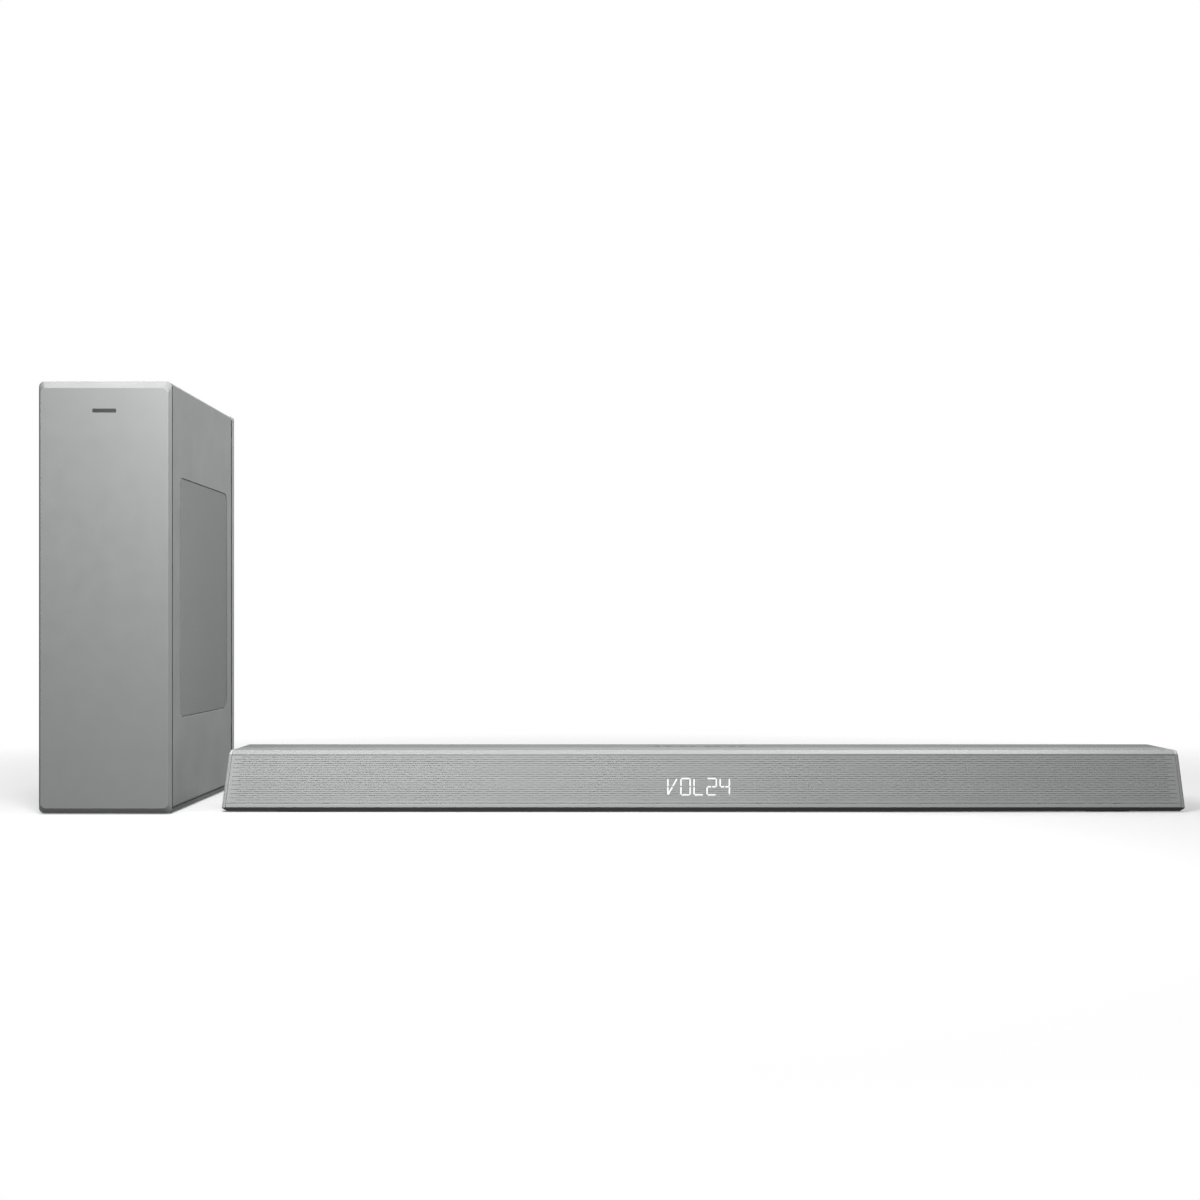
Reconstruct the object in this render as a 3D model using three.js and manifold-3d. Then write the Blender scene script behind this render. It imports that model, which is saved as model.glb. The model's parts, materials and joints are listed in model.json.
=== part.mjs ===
// A home-cinema speaker set: a long, low soundbar and the slim wireless subwoofer that stands
// beside it. Millimetres, +Z up, +X to the listener's right, and the listener at -Y.
// The origin is on the floor, in the middle of the rectangle that the set takes up.
// Each unit is drawn in a group of its own, about the middle of its own footprint.

import * as THREE from 'three';
import { mergeVertices } from 'three/addons/utils/BufferGeometryUtils.js';
import Module from 'manifold-3d';

const wasm = await Module();
wasm.setup();

// ---------------------------------------------------------------- driving dimensions

const GAP = 0.3;                 // clearance between neighbouring pieces

// The set on its shelf
const UNIT_SPACING = 42;         // from the subwoofer's side to the bar's end
const SUB_LEAD = 23;             // how far the subwoofer stands in front of the bar

// Soundbar
const BAR_WIDTH = 900;
const BAR_DEPTH = 95;
const BAR_HEIGHT = 58;
const END_LEAN = 7;              // each end leans in this far from base to top
const FOOT_SIZE = [44, 12];
const FOOT_TOP = 1.8;
const BASE_BOTTOM = 1.0;         // underside of the base plate, above the floor
const BASE_TOP = 4.3;
const BASE_TAPER = 4.6;          // the base plate is this much shorter at its underside, each end
const BASE_DEPTH_TAPER = 2;
const TRIM_TOP = 8.0;            // light trim strip under the grille
const TRIM_DEPTH = 4;
const GRILLE_BOTTOM = 8.9;
const SHEET = 1.2;               // grille sheet
const BEVEL = 4.6;               // bevel along the grille's top front edge
const TOP_SEAM_Y = -4.35;        // where the grille meets the housing on top
const HOUSING_WALL = 2.9;
const HOUSING_TOP_WALL = 3.4;
const HOUSING_RADIUS = 3;
const HOUSING_LEDGE = 12;        // the housing reaches this far under the grille
const CAP_THICKNESS = 3.2;       // end cap
const CAP_EDGE = 1.8;            // bevel round the end cap's outer edge

// Full-range drivers of the bar, one on each side, facing -Y
const DRIVER_X = 330;
const DRIVER_Z = 31;
const DRIVER_FLANGE = [96, 42];
const DRIVER_BASKET = [86, 34];
const DRIVER_MOUTH = [80, 29];
const DRIVER_CONE = [74, 23];
const DRIVER_COIL_R = 9;
const DRIVER_FRONT = -44;
const BASKET_BACK = -22;
const BASKET_PLATE = 2;
const BAFFLE_FRONT = -41;
const BAFFLE_THICKNESS = 2.5;
const BAFFLE_INSET = 8;
const TWEETER_X = 405;
const TWEETER_R = 17;
const TWEETER_BODY_R = 12.5;

// Display, behind the grille
const DISPLAY_Z = 24;
const DISPLAY_SIZE = [74, 23];

// Push buttons on top
const BUTTON_NAMES = ['power', 'source', 'volume_down', 'volume_up'];
const BUTTON_PITCH = 24;
const BUTTON_Y = 14;
const BUTTON_SIZE = [16, 9];
const BUTTON_CLEARANCE = 0.4;
const SWITCH_TOP = 50;           // top of the switches under them

// Connector bay in the bar's back
const BAY_SIZE = [186, 26];
const BAY_Z = 28;
const BAY_FLOOR_Y = 34.6;
const BAY_WALL = 1.6;
const SOCKET_Z = 28;
const SOCKET_FRONT_Y = 35.0;
const SOCKET_DEPTH = 10;
const SOCKETS = [                // name, x, opening in the bay's floor
  { name: 'aux_socket', x: -70, size: [8, 8] },
  { name: 'usb_socket', x: -46, size: [14.6, 7.2] },
  { name: 'hdmi_socket_in', x: -20, size: [15.6, 6.4] },
  { name: 'hdmi_socket_out', x: 8, size: [15.6, 6.4] },
];
const WALL_INSERT_X = 300;
const WALL_INSERT_Z = 30;
const INSERT_R = 3.6;
const INSERT_BORE_R = 1.7;
const INSERT_LENGTH = 9;

// Two-pin mains inlet, the same on both units
const INLET = { x: 68, size: [24, 16], depth: 14 };
const INLET_RECESS = { size: [17, 9], radius: 3, depth: 9 };
const INLET_PIN = { x: 4.3, radius: 1.2 };

// Subwoofer
const SUB_WIDTH = 123;
const SUB_DEPTH = 300;
const SUB_HEIGHT = 400;
const SUB_FLOOR_GAP = 1.0;       // underside of the front and rear panels
const BOARD = 12;                // cabinet board
const SUB_BOTTOM = 5;            // underside of the cabinet
const FRONT_PANEL_BACK = -143;
const FRONT_PANEL_FACE = -149.7;
const CABINET_FRONT = -140.6;
const CABINET_BACK = 133;
const CABINET_EDGE = 2;          // small bevel along the long edges of cabinet and rear panel
const NECK_INSET = 3.5;          // shadow gap behind the front panel and before the rear panel
const REAR_PANEL_FRONT = 138;
const BADGE = { size: [22, 3.6], z: 372.6, pocket: 0.5 };
const SUB_FOOT_R = 12;
const SUB_FOOT_TOP = 3.2;
const SIDE_GRILLE_SIZE = [221, 226];
const SIDE_GRILLE_Z = 201;
const SIDE_GRILLE_POCKET = 4.2;
const PORT_Z = 345;
const PORT_R = 25;
const PORT_WALL = 3;
const PORT_LENGTH = 130;
const PORT_FLANGE = 3;
const PORT_FLANGE_R = 34;
const AMP_PLATE_SIZE = [91, 123];
const AMP_PLATE_Z = 116;
const AMP_PLATE_BACK = 149;
const AMP_PLATE_THICKNESS = 3;
const AMP_OPENING = [80, 110];
const INLET_Z = 76;
const PAIR_BUTTON_Z = 140;
const PAIR_BUTTON_R = 4.2;
const LED_X = 16;
const LED_R = 1.6;

// Woofer, facing +X
const WOOFER_SEAT_X = 53;
const WOOFER_FLANGE_R = 104;
const WOOFER_HOLE_R = 93.5;
const COIL_R = 24.5;
const MAGNET_FACE = -3.3;

const ARC_STEPS = 4;             // facets in a quarter turn of a small radius
const TURN_STEPS = 24;           // facets round a turned piece

// ---------------------------------------------------------------- places worked out from them

const SET_WIDTH = SUB_WIDTH + UNIT_SPACING + BAR_WIDTH;
const BAR_X = (SET_WIDTH - BAR_WIDTH) / 2;
const SUB_X = (SUB_WIDTH - SET_WIDTH) / 2;
const BAR_Y = -SUB_DEPTH / 2 + SUB_LEAD + BAR_DEPTH / 2;
const FRONT = -BAR_DEPTH / 2;
const BACK = BAR_DEPTH / 2;
const SUB_BACK = SUB_DEPTH / 2;
const FOOT_POCKET = FOOT_SIZE.map((side) => side + 2 * GAP);
const LEAN = END_LEAN / (BAR_HEIGHT - BASE_TOP);
const SUB_SIDE = SUB_WIDTH / 2;
const SUB_INNER = SUB_SIDE - BOARD;

// ---------------------------------------------------------------- materials

const finish = (color, roughness, metalness) =>
  new THREE.MeshStandardMaterial({ color, roughness, metalness });

const FINISHES = {
  grille: () => finish(0xa4a7a6, 0.42, 0.85),
  trim: () => finish(0xb2b4b3, 0.35, 0.9),
  badge: () => finish(0x5c5e5e, 0.4, 0.8),
  housing: () => finish(0x7e8180, 0.55, 0.1),
  base: () => finish(0x2a2b2c, 0.6, 0.0),
  rubber: () => finish(0x1c1c1d, 0.9, 0.0),
  panel: () => finish(0xa0a3a2, 0.45, 0.6),
  cabinet: () => finish(0x939594, 0.55, 0.1),
  cloth: () => finish(0x7d7f7e, 0.9, 0.0),
  steel: () => finish(0x9b9d9f, 0.35, 1.0),
  brass: () => finish(0xb08d4a, 0.35, 1.0),
  magnet: () => finish(0x3a3b3d, 0.6, 0.4),
  paper: () => finish(0x2b2c2e, 0.85, 0.0),
  board: () => finish(0x1f5a3a, 0.6, 0.0),
  lens: () => finish(0x3c3e40, 0.2, 0.0),
  black: () => finish(0x1d1e1f, 0.45, 0.0),
};

// ---------------------------------------------------------------- outlines

// Points of an arc about (cx, cy), from one angle to another in degrees.
function arc(cx, cy, radius, from, to, steps = ARC_STEPS) {
  return Array.from({ length: steps + 1 }, (_, i) => {
    const angle = THREE.MathUtils.degToRad(from + (to - from) * (i / steps));
    return new THREE.Vector2(cx + radius * Math.cos(angle), cy + radius * Math.sin(angle));
  });
}

// A rectangle with rounded corners; the top pair may have a radius of its own.
function roundedRect(x0, x1, y0, y1, radius, topRadius = radius) {
  return [
    ...arc(x0 + radius, y0 + radius, radius, 180, 270),
    ...arc(x1 - radius, y0 + radius, radius, 270, 360),
    ...arc(x1 - topRadius, y1 - topRadius, topRadius, 0, 90),
    ...arc(x0 + topRadius, y1 - topRadius, topRadius, 90, 180),
  ];
}

// A stadium outline about (cx, cy): a rectangle whose short ends are half circles.
function stadium([width, height], cx = 0, cy = 0) {
  return roundedRect(cx - width / 2, cx + width / 2, cy - height / 2, cy + height / 2,
    Math.min(width, height) / 2 - 0.01);
}

const circle = (radius, cx = 0, cy = 0, steps = TURN_STEPS) =>
  arc(cx, cy, radius, 0, 360, steps).slice(0, -1);

const rect = ([width, height], cx = 0, cy = 0) => [
  new THREE.Vector2(cx - width / 2, cy - height / 2),
  new THREE.Vector2(cx + width / 2, cy - height / 2),
  new THREE.Vector2(cx + width / 2, cy + height / 2),
  new THREE.Vector2(cx - width / 2, cy + height / 2),
];

// ---------------------------------------------------------------- solids

const prism = (points, length) =>
  new THREE.ExtrudeGeometry(new THREE.Shape(points), { depth: length, bevelEnabled: false });

// A prism of an (x, y) outline, from z0 to z1.
const alongZ = (points, z0, z1) => prism(points, z1 - z0).translate(0, 0, z0);

// A prism of an (x, z) outline, from y0 to y1.
const alongY = (points, y0, y1) => prism(points, y1 - y0).rotateX(Math.PI / 2).translate(0, y1, 0);

// A prism of a (y, z) outline, from x0 to x1.
function alongX(points, x0, x1) {
  const turn = new THREE.Matrix4().makeBasis(
    new THREE.Vector3(0, 1, 0), new THREE.Vector3(0, 0, 1), new THREE.Vector3(1, 0, 0));
  return prism(points, x1 - x0).applyMatrix4(turn).translate(x0, 0, 0);
}

const block = ([x0, x1], [y0, y1], [z0, z1]) =>
  new THREE.BoxGeometry(x1 - x0, y1 - y0, z1 - z0)
    .translate((x0 + x1) / 2, (y0 + y1) / 2, (z0 + z1) / 2);

// A piece turned on the Y axis from [radius, y] pairs, or on the X axis from [radius, x] pairs.
const turnedY = (profile) => facingOut(closed(
  new THREE.LatheGeometry(profile.map(([r, a]) => new THREE.Vector2(r, a)), TURN_STEPS)));
const turnedX = (profile) => turnedY(profile).rotateZ(-Math.PI / 2);

function closed(geometry) {
  geometry.deleteAttribute('normal');
  geometry.deleteAttribute('uv');
  return mergeVertices(geometry, 1e-4);
}

// Turns every triangle over if the surface faces inwards.
function facingOut(geometry) {
  const p = geometry.getAttribute('position');
  const index = geometry.index.array;
  const [a, b, c] = [new THREE.Vector3(), new THREE.Vector3(), new THREE.Vector3()];
  let volume = 0;
  for (let i = 0; i < index.length; i += 3) {
    a.fromBufferAttribute(p, index[i]);
    b.fromBufferAttribute(p, index[i + 1]);
    c.fromBufferAttribute(p, index[i + 2]);
    volume += a.dot(b.cross(c));
  }
  if (volume < 0) {
    for (let i = 0; i < index.length; i += 3) {
      [index[i + 1], index[i + 2]] = [index[i + 2], index[i + 1]];
    }
  }
  return geometry;
}

// A solid through a stack of convex rings that have the same number of points.
function loft(rings) {
  const count = rings[0].length;
  const positions = rings.flat().flatMap((p) => [p.x, p.y, p.z]);
  const index = [];
  for (let r = 0; r < rings.length - 1; r++) {
    for (let i = 0; i < count; i++) {
      const [a, b] = [r * count + i, r * count + (i + 1) % count];
      index.push(a, b, b + count, a, b + count, a + count);
    }
  }
  const last = (rings.length - 1) * count;
  for (let i = 1; i < count - 1; i++) {
    index.push(0, i + 1, i, last, last + i, last + i + 1);
  }
  const geometry = new THREE.BufferGeometry();
  geometry.setAttribute('position', new THREE.Float32BufferAttribute(positions, 3));
  geometry.setIndex(index);
  return facingOut(geometry);
}

function solidOf(geometry) {
  const mesh = facingOut(closed(geometry));
  return new wasm.Manifold(new wasm.Mesh({
    numProp: 3,
    vertProperties: new Float32Array(mesh.getAttribute('position').array),
    triVerts: new Uint32Array(mesh.index.array),
  }));
}

function geometryOf(solid) {
  const mesh = solid.getMesh();
  const geometry = new THREE.BufferGeometry();
  geometry.setAttribute('position', new THREE.BufferAttribute(mesh.vertProperties, 3));
  geometry.setIndex(new THREE.BufferAttribute(mesh.triVerts, 1));
  return geometry;
}

const join = (...pieces) => geometryOf(pieces.map(solidOf).reduce((a, b) => a.add(b)));
const cut = (piece, ...tools) =>
  geometryOf(tools.map(solidOf).reduce((a, b) => a.subtract(b), solidOf(piece)));

// Adds a named piece to a group.
function place(group, name, geometry, look, position = [0, 0, 0]) {
  const mesh = new THREE.Mesh(geometry, FINISHES[look]());
  mesh.name = name;
  mesh.position.set(...position);
  group.add(mesh);
  return mesh;
}

// ---------------------------------------------------------------- soundbar: casing

// Half the bar's width at a height: its ends lean in.
const halfWidthAt = (z) => BAR_WIDTH / 2 - (z - BASE_TOP) * LEAN;

// A piece that runs the bar's whole length with one (y, z) section, its ends leaning as the
// bar's do and standing back from them by an inset.
function fullLength(section, inset) {
  const geometry = alongX(section, -1, 1);
  const p = geometry.getAttribute('position');
  for (let i = 0; i < p.count; i++) {
    p.setX(i, Math.sign(p.getX(i)) * (halfWidthAt(p.getZ(i)) - inset));
  }
  return geometry;
}

const points = (...pairs) => pairs.map(([a, b]) => new THREE.Vector2(a, b));

function basePlate() {
  const ring = (x, y, z) => rect([2 * x, 2 * y]).map((p) => new THREE.Vector3(p.x, p.y, z));
  const plate = loft([
    ring(BAR_WIDTH / 2 - BASE_TAPER, BACK - BASE_DEPTH_TAPER, BASE_BOTTOM),
    ring(BAR_WIDTH / 2, BACK, BASE_TOP),
  ]);
  return cut(plate, ...barFeet().map(([x, y]) =>
    alongZ(stadium(FOOT_POCKET, x, y), BASE_BOTTOM - 1, FOOT_TOP + GAP)));
}

const barFeet = () => [-380, 380].flatMap((x) => [-33, 33].map((y) => [x, y]));

function frontGrille() {
  const inner = FRONT + SHEET;
  const slack = SHEET * 0.41;    // keeps the sheet's thickness round the bevel
  return fullLength(points(
    [FRONT, GRILLE_BOTTOM], [inner, GRILLE_BOTTOM],
    [inner, BAR_HEIGHT - BEVEL - slack],
    [FRONT + BEVEL + slack, BAR_HEIGHT - SHEET],
    [TOP_SEAM_Y - GAP / 2, BAR_HEIGHT - SHEET], [TOP_SEAM_Y - GAP / 2, BAR_HEIGHT],
    [FRONT + BEVEL, BAR_HEIGHT], [FRONT, BAR_HEIGHT - BEVEL],
  ), CAP_THICKNESS + GAP);
}

const lowerTrim = () => fullLength(points(
  [FRONT, BASE_TOP + GAP], [FRONT + TRIM_DEPTH, BASE_TOP + GAP],
  [FRONT + TRIM_DEPTH, TRIM_TOP], [FRONT, TRIM_TOP],
), CAP_THICKNESS + GAP);

const buttonX = (i) => (i - (BUTTON_NAMES.length - 1) / 2) * BUTTON_PITCH;

function rearHousing() {
  const inside = BACK - HOUSING_WALL;
  const ceiling = BAR_HEIGHT - HOUSING_TOP_WALL;
  const ledge = BAR_HEIGHT - SHEET - GAP - 0.1;
  const seam = TOP_SEAM_Y + GAP / 2;
  const shell = fullLength([
    ...points([seam, BAR_HEIGHT], [seam, ledge], [seam - HOUSING_LEDGE, ledge],
      [seam - HOUSING_LEDGE, ceiling], [inside, ceiling], [inside, BASE_TOP + GAP],
      [BACK, BASE_TOP + GAP]),
    ...arc(BACK - HOUSING_RADIUS, BAR_HEIGHT - HOUSING_RADIUS, HOUSING_RADIUS, 0, 90, 3),
  ], CAP_THICKNESS + GAP);
  const hole = BUTTON_SIZE.map((side) => side + 2 * BUTTON_CLEARANCE);
  return cut(shell,
    ...BUTTON_NAMES.map((_, i) =>
      alongZ(stadium(hole, buttonX(i), BUTTON_Y), ceiling - 1, BAR_HEIGHT + 1)),
    alongY(rect(BAY_SIZE, 0, BAY_Z), inside - 1, BACK + 1),
    ...[-1, 1].map((side) => alongY(
      circle(INSERT_R + GAP, side * WALL_INSERT_X, WALL_INSERT_Z, 16), inside - 1, BACK + 1)));
}

// side is -1 for the listener's left and 1 for the right
function endCap(side) {
  const ring = (depth, edge) => {
    const [front, back, top] = [FRONT + edge, BACK - edge, BAR_HEIGHT - edge];
    return points(
      [front, BASE_TOP + GAP], [back, BASE_TOP + GAP],
      [back, top - HOUSING_RADIUS], [back - HOUSING_RADIUS, top],
      [front + BEVEL, top], [front, top - BEVEL],
    ).map((p) => new THREE.Vector3(side * (halfWidthAt(p.y) - depth), p.x, p.y));
  };
  return loft([ring(CAP_THICKNESS, 0), ring(CAP_EDGE, 0), ring(0.6, 0.5), ring(0, CAP_EDGE)]);
}

// ---------------------------------------------------------------- soundbar: drivers and display

const driverHole = (x) => stadium(DRIVER_BASKET.map((side) => side + 1), x, DRIVER_Z);

function frontBaffle() {
  const back = BAFFLE_FRONT + BAFFLE_THICKNESS;
  const panel = fullLength(points(
    [BAFFLE_FRONT, TRIM_TOP], [back, TRIM_TOP], [back, BAR_HEIGHT - 4], [BAFFLE_FRONT, BAR_HEIGHT - 4],
  ), BAFFLE_INSET);
  const through = (outline) => alongY(outline, BAFFLE_FRONT - 1, back + 1);
  return cut(panel,
    ...[-1, 1].flatMap((side) => [
      through(driverHole(side * DRIVER_X)),
      through(circle(TWEETER_BODY_R + 0.5, side * TWEETER_X, DRIVER_Z, 24)),
    ]),
    through(rect([50, 12], 0, DISPLAY_Z)));
}

// The pieces of a bar driver are drawn about its own axis, which runs along Y.

function driverFrame() {
  const flange = alongY(stadium(DRIVER_FLANGE), DRIVER_FRONT, BAFFLE_FRONT - GAP);
  const basket = alongY(stadium(DRIVER_BASKET), BAFFLE_FRONT - GAP - 0.5, BASKET_BACK);
  return cut(join(flange, basket),
    alongY(stadium(DRIVER_MOUTH), DRIVER_FRONT - 1, BASKET_BACK - BASKET_PLATE),
    alongY(circle(DRIVER_COIL_R + 1.5, 0, 0, 24), BASKET_BACK - BASKET_PLATE - 1, BASKET_BACK + 1));
}

const driverMagnet = () => turnedY([
  [0, BASKET_BACK + GAP], [DRIVER_COIL_R - 1.6, BASKET_BACK + GAP],
  [DRIVER_COIL_R - 1.6, -14], [DRIVER_COIL_R + 1.4, -14],
  [DRIVER_COIL_R + 1.4, BASKET_BACK + GAP], [18, BASKET_BACK + GAP],
  [18, -10], [0, -10],
]);

function driverCone() {
  const ring = (size, y) => stadium(size).map((p) => new THREE.Vector3(p.x, y, p.y));
  const [width, height] = DRIVER_CONE;
  const body = loft([ring(DRIVER_CONE, -43), ring([30, 18.4], -35)]);
  const dish = loft([ring([width - 2, height - 2], -43.01), ring([26, 14], -37)]);
  const tube = cut(
    alongY(circle(DRIVER_COIL_R, 0, 0, 24), -36, -20),
    alongY(circle(DRIVER_COIL_R - 0.8, 0, 0, 24), -34.9, -19));
  return join(cut(body, dish), tube);
}

const driverSurround = () => cut(
  alongY(stadium(DRIVER_MOUTH.map((side) => side - 2 * GAP)), -43.6, -42.4),
  alongY(stadium(DRIVER_CONE.map((side) => side + 0.8)), -44.6, -41.4));

const tweeter = () => turnedY([
  [0, -44.6], [5, -44.2], [9, -42.9], [11, -43.2], [TWEETER_R, DRIVER_FRONT],
  [TWEETER_R, BAFFLE_FRONT - GAP], [TWEETER_BODY_R, BAFFLE_FRONT - GAP],
  [TWEETER_BODY_R, -28], [0, -28],
]);

// ---------------------------------------------------------------- soundbar: buttons and boards

// A button cap, its captive flange and the stem over its switch, about the button's axis.
function buttonCap() {
  const ceiling = BAR_HEIGHT - HOUSING_TOP_WALL;
  const flange = BUTTON_SIZE.map((side) => side + 3);
  return join(
    alongZ(stadium(BUTTON_SIZE), ceiling - 1, BAR_HEIGHT - 0.1),
    alongZ(stadium(flange), ceiling - 1.6, ceiling - 0.4),
    alongZ(circle(2, 0, 0, 12), SWITCH_TOP + 0.8, ceiling - 1.4));
}

function buttonBoard() {
  const [bottom, top] = [47, 48.6];
  const switches = BUTTON_NAMES.map((_, i) => block(
    [buttonX(i) - 3, buttonX(i) + 3], [BUTTON_Y - 3, BUTTON_Y + 3], [top - 0.5, SWITCH_TOP]));
  return join(block([-48, 48], [BUTTON_Y - 8, BUTTON_Y + 8], [bottom, top]), ...switches);
}

// Main board, with its processor can, connectors and electrolytic capacitors.
function mainBoard() {
  const [bottom, top] = [22.4, 24.0];
  const can = (x, y, r, height) => alongZ(circle(r, x, y, 16), top - 0.5, top + height);
  return join(
    block([-150, 48], [-22, 32], [bottom, top]),
    block([-140, -104], [-14, 14], [top - 0.5, top + 3]),
    block([-98, -92], [-16, 6], [top - 0.5, top + 6]),
    can(10, -12, 5, 14), can(24, -12, 5, 14), can(36, -12, 4, 10));
}

// Finned sink on the amplifier chip.
function heatSink() {
  const [x0, x1] = [-84, -12];
  const [bottom, plate, top] = [24.8, 28, 43];
  const PITCH = 6;
  const FIN = 2;
  const fins = [];
  for (let x = x0; x + FIN <= x1; x += PITCH) {
    fins.push(block([x, x + FIN], [-20, 8], [plate - 0.5, top]));
  }
  return join(block([x0, x1], [-20, 8], [bottom, plate]), ...fins);
}

// Power supply board, with its transformer, chokes and mains capacitor.
function powerBoard() {
  const [bottom, top] = [10, 11.6];
  return join(
    block([52, 200], [-24, 30], [bottom, top]),
    block([96, 128], [-18, 10], [top - 0.5, 38]),
    alongZ(circle(9, 152, -6, 20), top - 0.5, 34),
    block([168, 190], [-16, 0], [top - 0.5, 26]));
}

// ---------------------------------------------------------------- soundbar: connector bay

function connectorTray() {
  const outer = BAY_SIZE.map((side) => side + 2 * BAY_WALL + 1);
  const inner = BAY_SIZE.map((side) => side + 1);
  const mouth = BACK - HOUSING_WALL - GAP;
  const through = (size, x) => alongY(
    rect(size.map((side) => side + 2 * GAP), x, SOCKET_Z), BAY_FLOOR_Y - BAY_WALL - 1, BAY_FLOOR_Y + 1);
  return cut(
    alongY(rect(outer, 0, BAY_Z), BAY_FLOOR_Y - BAY_WALL, mouth),
    alongY(rect(inner, 0, BAY_Z), BAY_FLOOR_Y, mouth + 1),
    ...SOCKETS.map(({ x, size }) => through(size, x)),
    through(INLET.size, INLET.x));
}

// Sockets are drawn about their own axis, with their faces at y = 0 and their bodies at -Y.

function slottedSocket(size, slots) {
  return cut(alongY(rect(size), -SOCKET_DEPTH, 0),
    ...slots.map(([width, height, z]) => alongY(rect([width, height], 0, z), -8, 1)));
}

const SOCKET_SHAPES = {
  hdmi_socket_in: () => slottedSocket([15.6, 6.4], [[13.6, 1.7, 1.65], [13.6, 1.7, -1.65]]),
  hdmi_socket_out: () => slottedSocket([15.6, 6.4], [[13.6, 1.7, 1.65], [13.6, 1.7, -1.65]]),
  usb_socket: () => slottedSocket([14.6, 7.2], [[12.4, 2.4, -1.2], [12.4, 0.7, 2.3]]),
  aux_socket: () => cut(
    alongY(rect([8, 8]), -SOCKET_DEPTH, 0), alongY(circle(1.8, 0, 0, 16), -9, 1)),
};

// Two-pin mains inlet: a block with a rounded recess and two pins standing in it.

function mainsInlet() {
  const [width, height] = INLET_RECESS.size;
  const shell = cut(
    alongY(rect(INLET.size), -INLET.depth, 0),
    alongY(roundedRect(-width / 2, width / 2, -height / 2, height / 2, INLET_RECESS.radius),
      -INLET_RECESS.depth, 1));
  const pins = [-INLET_PIN.x, INLET_PIN.x].map((x) =>
    alongY(circle(INLET_PIN.radius, x, 0, 12), -INLET_RECESS.depth - 1, -1));
  return join(shell, ...pins);
}

const wallInsert = () => cut(
  alongY(circle(INSERT_R, 0, 0, 16), -INSERT_LENGTH, 0),
  alongY(circle(INSERT_BORE_R, 0, 0, 12), -INSERT_LENGTH + 1, 1));

// ---------------------------------------------------------------- soundbar: assembly

function soundbar() {
  const bar = new THREE.Group();
  bar.position.set(BAR_X, BAR_Y, 0);

  place(bar, 'base_plate', basePlate(), 'base');
  barFeet().forEach(([x, y], i) =>
    place(bar, `bar_foot_${i + 1}`, alongZ(stadium(FOOT_SIZE), 0, FOOT_TOP), 'rubber', [x, y, 0]));
  place(bar, 'front_grille', frontGrille(), 'grille');
  place(bar, 'lower_trim', lowerTrim(), 'trim');
  place(bar, 'rear_housing', rearHousing(), 'housing');
  place(bar, 'end_cap_left', endCap(-1), 'grille');
  place(bar, 'end_cap_right', endCap(1), 'grille');
  place(bar, 'front_baffle', frontBaffle(), 'base');

  for (const [side, sign] of [['left', -1], ['right', 1]]) {
    const at = [sign * DRIVER_X, 0, DRIVER_Z];
    place(bar, `driver_${side}_frame`, driverFrame(), 'steel', at);
    place(bar, `driver_${side}_magnet`, driverMagnet(), 'magnet', at);
    place(bar, `driver_${side}_cone`, driverCone(), 'paper', at);
    place(bar, `driver_${side}_surround`, driverSurround(), 'rubber', at);
    place(bar, `tweeter_${side}`, tweeter(), 'black', [sign * TWEETER_X, 0, DRIVER_Z]);
    place(bar, `wall_insert_${side}`, wallInsert(), 'brass',
      [sign * WALL_INSERT_X, BACK - 0.2, WALL_INSERT_Z]);
  }

  place(bar, 'display_lens',
    alongY(rect(DISPLAY_SIZE, 0, DISPLAY_Z), FRONT + SHEET + GAP, FRONT + SHEET + 1.3), 'lens');
  place(bar, 'display_module',
    alongY(rect(DISPLAY_SIZE, 0, DISPLAY_Z), FRONT + SHEET + 1.6, BAFFLE_FRONT - GAP), 'black');
  place(bar, 'infrared_receiver',
    block([46, 52], [FRONT + SHEET + 0.8, BAFFLE_FRONT - GAP], [DISPLAY_Z - 3, DISPLAY_Z + 3]), 'lens');

  BUTTON_NAMES.forEach((name, i) =>
    place(bar, `button_${name}`, buttonCap(), 'black', [buttonX(i), BUTTON_Y, 0]));
  place(bar, 'button_board', buttonBoard(), 'board');
  place(bar, 'main_board', mainBoard(), 'board');
  place(bar, 'heat_sink', heatSink(), 'steel');
  place(bar, 'power_board', powerBoard(), 'board');

  place(bar, 'connector_tray', connectorTray(), 'black');
  for (const { name, x } of SOCKETS) {
    place(bar, name, SOCKET_SHAPES[name](), 'steel', [x, SOCKET_FRONT_Y, SOCKET_Z]);
  }
  place(bar, 'mains_inlet', mainsInlet(), 'black', [INLET.x, SOCKET_FRONT_Y, SOCKET_Z]);
  return bar;
}

// ---------------------------------------------------------------- subwoofer: cabinet and panels

// A ring of the front or rear panel: the panel's outline at one depth, inset on each edge.
function panelRing(y, { side = 0, top = 0, bottom = 0 } = {}) {
  return roundedRect(
    -SUB_SIDE + side, SUB_SIDE - side, SUB_FLOOR_GAP + bottom, SUB_HEIGHT - top, 5, 3,
  ).map((p) => new THREE.Vector3(p.x, y, p.y));
}

function subFrontPanel() {
  const panel = loft([
    panelRing(FRONT_PANEL_BACK),
    panelRing(FRONT_PANEL_FACE + 4.4),
    panelRing(FRONT_PANEL_FACE, { side: 2.6, top: 6.6, bottom: 4.8 }),
  ]);
  const pocket = BADGE.size.map((side) => side + 2 * GAP);
  return cut(panel, alongY(rect(pocket, 0, BADGE.z),
    FRONT_PANEL_FACE - 1, FRONT_PANEL_FACE + BADGE.pocket));
}

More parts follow.
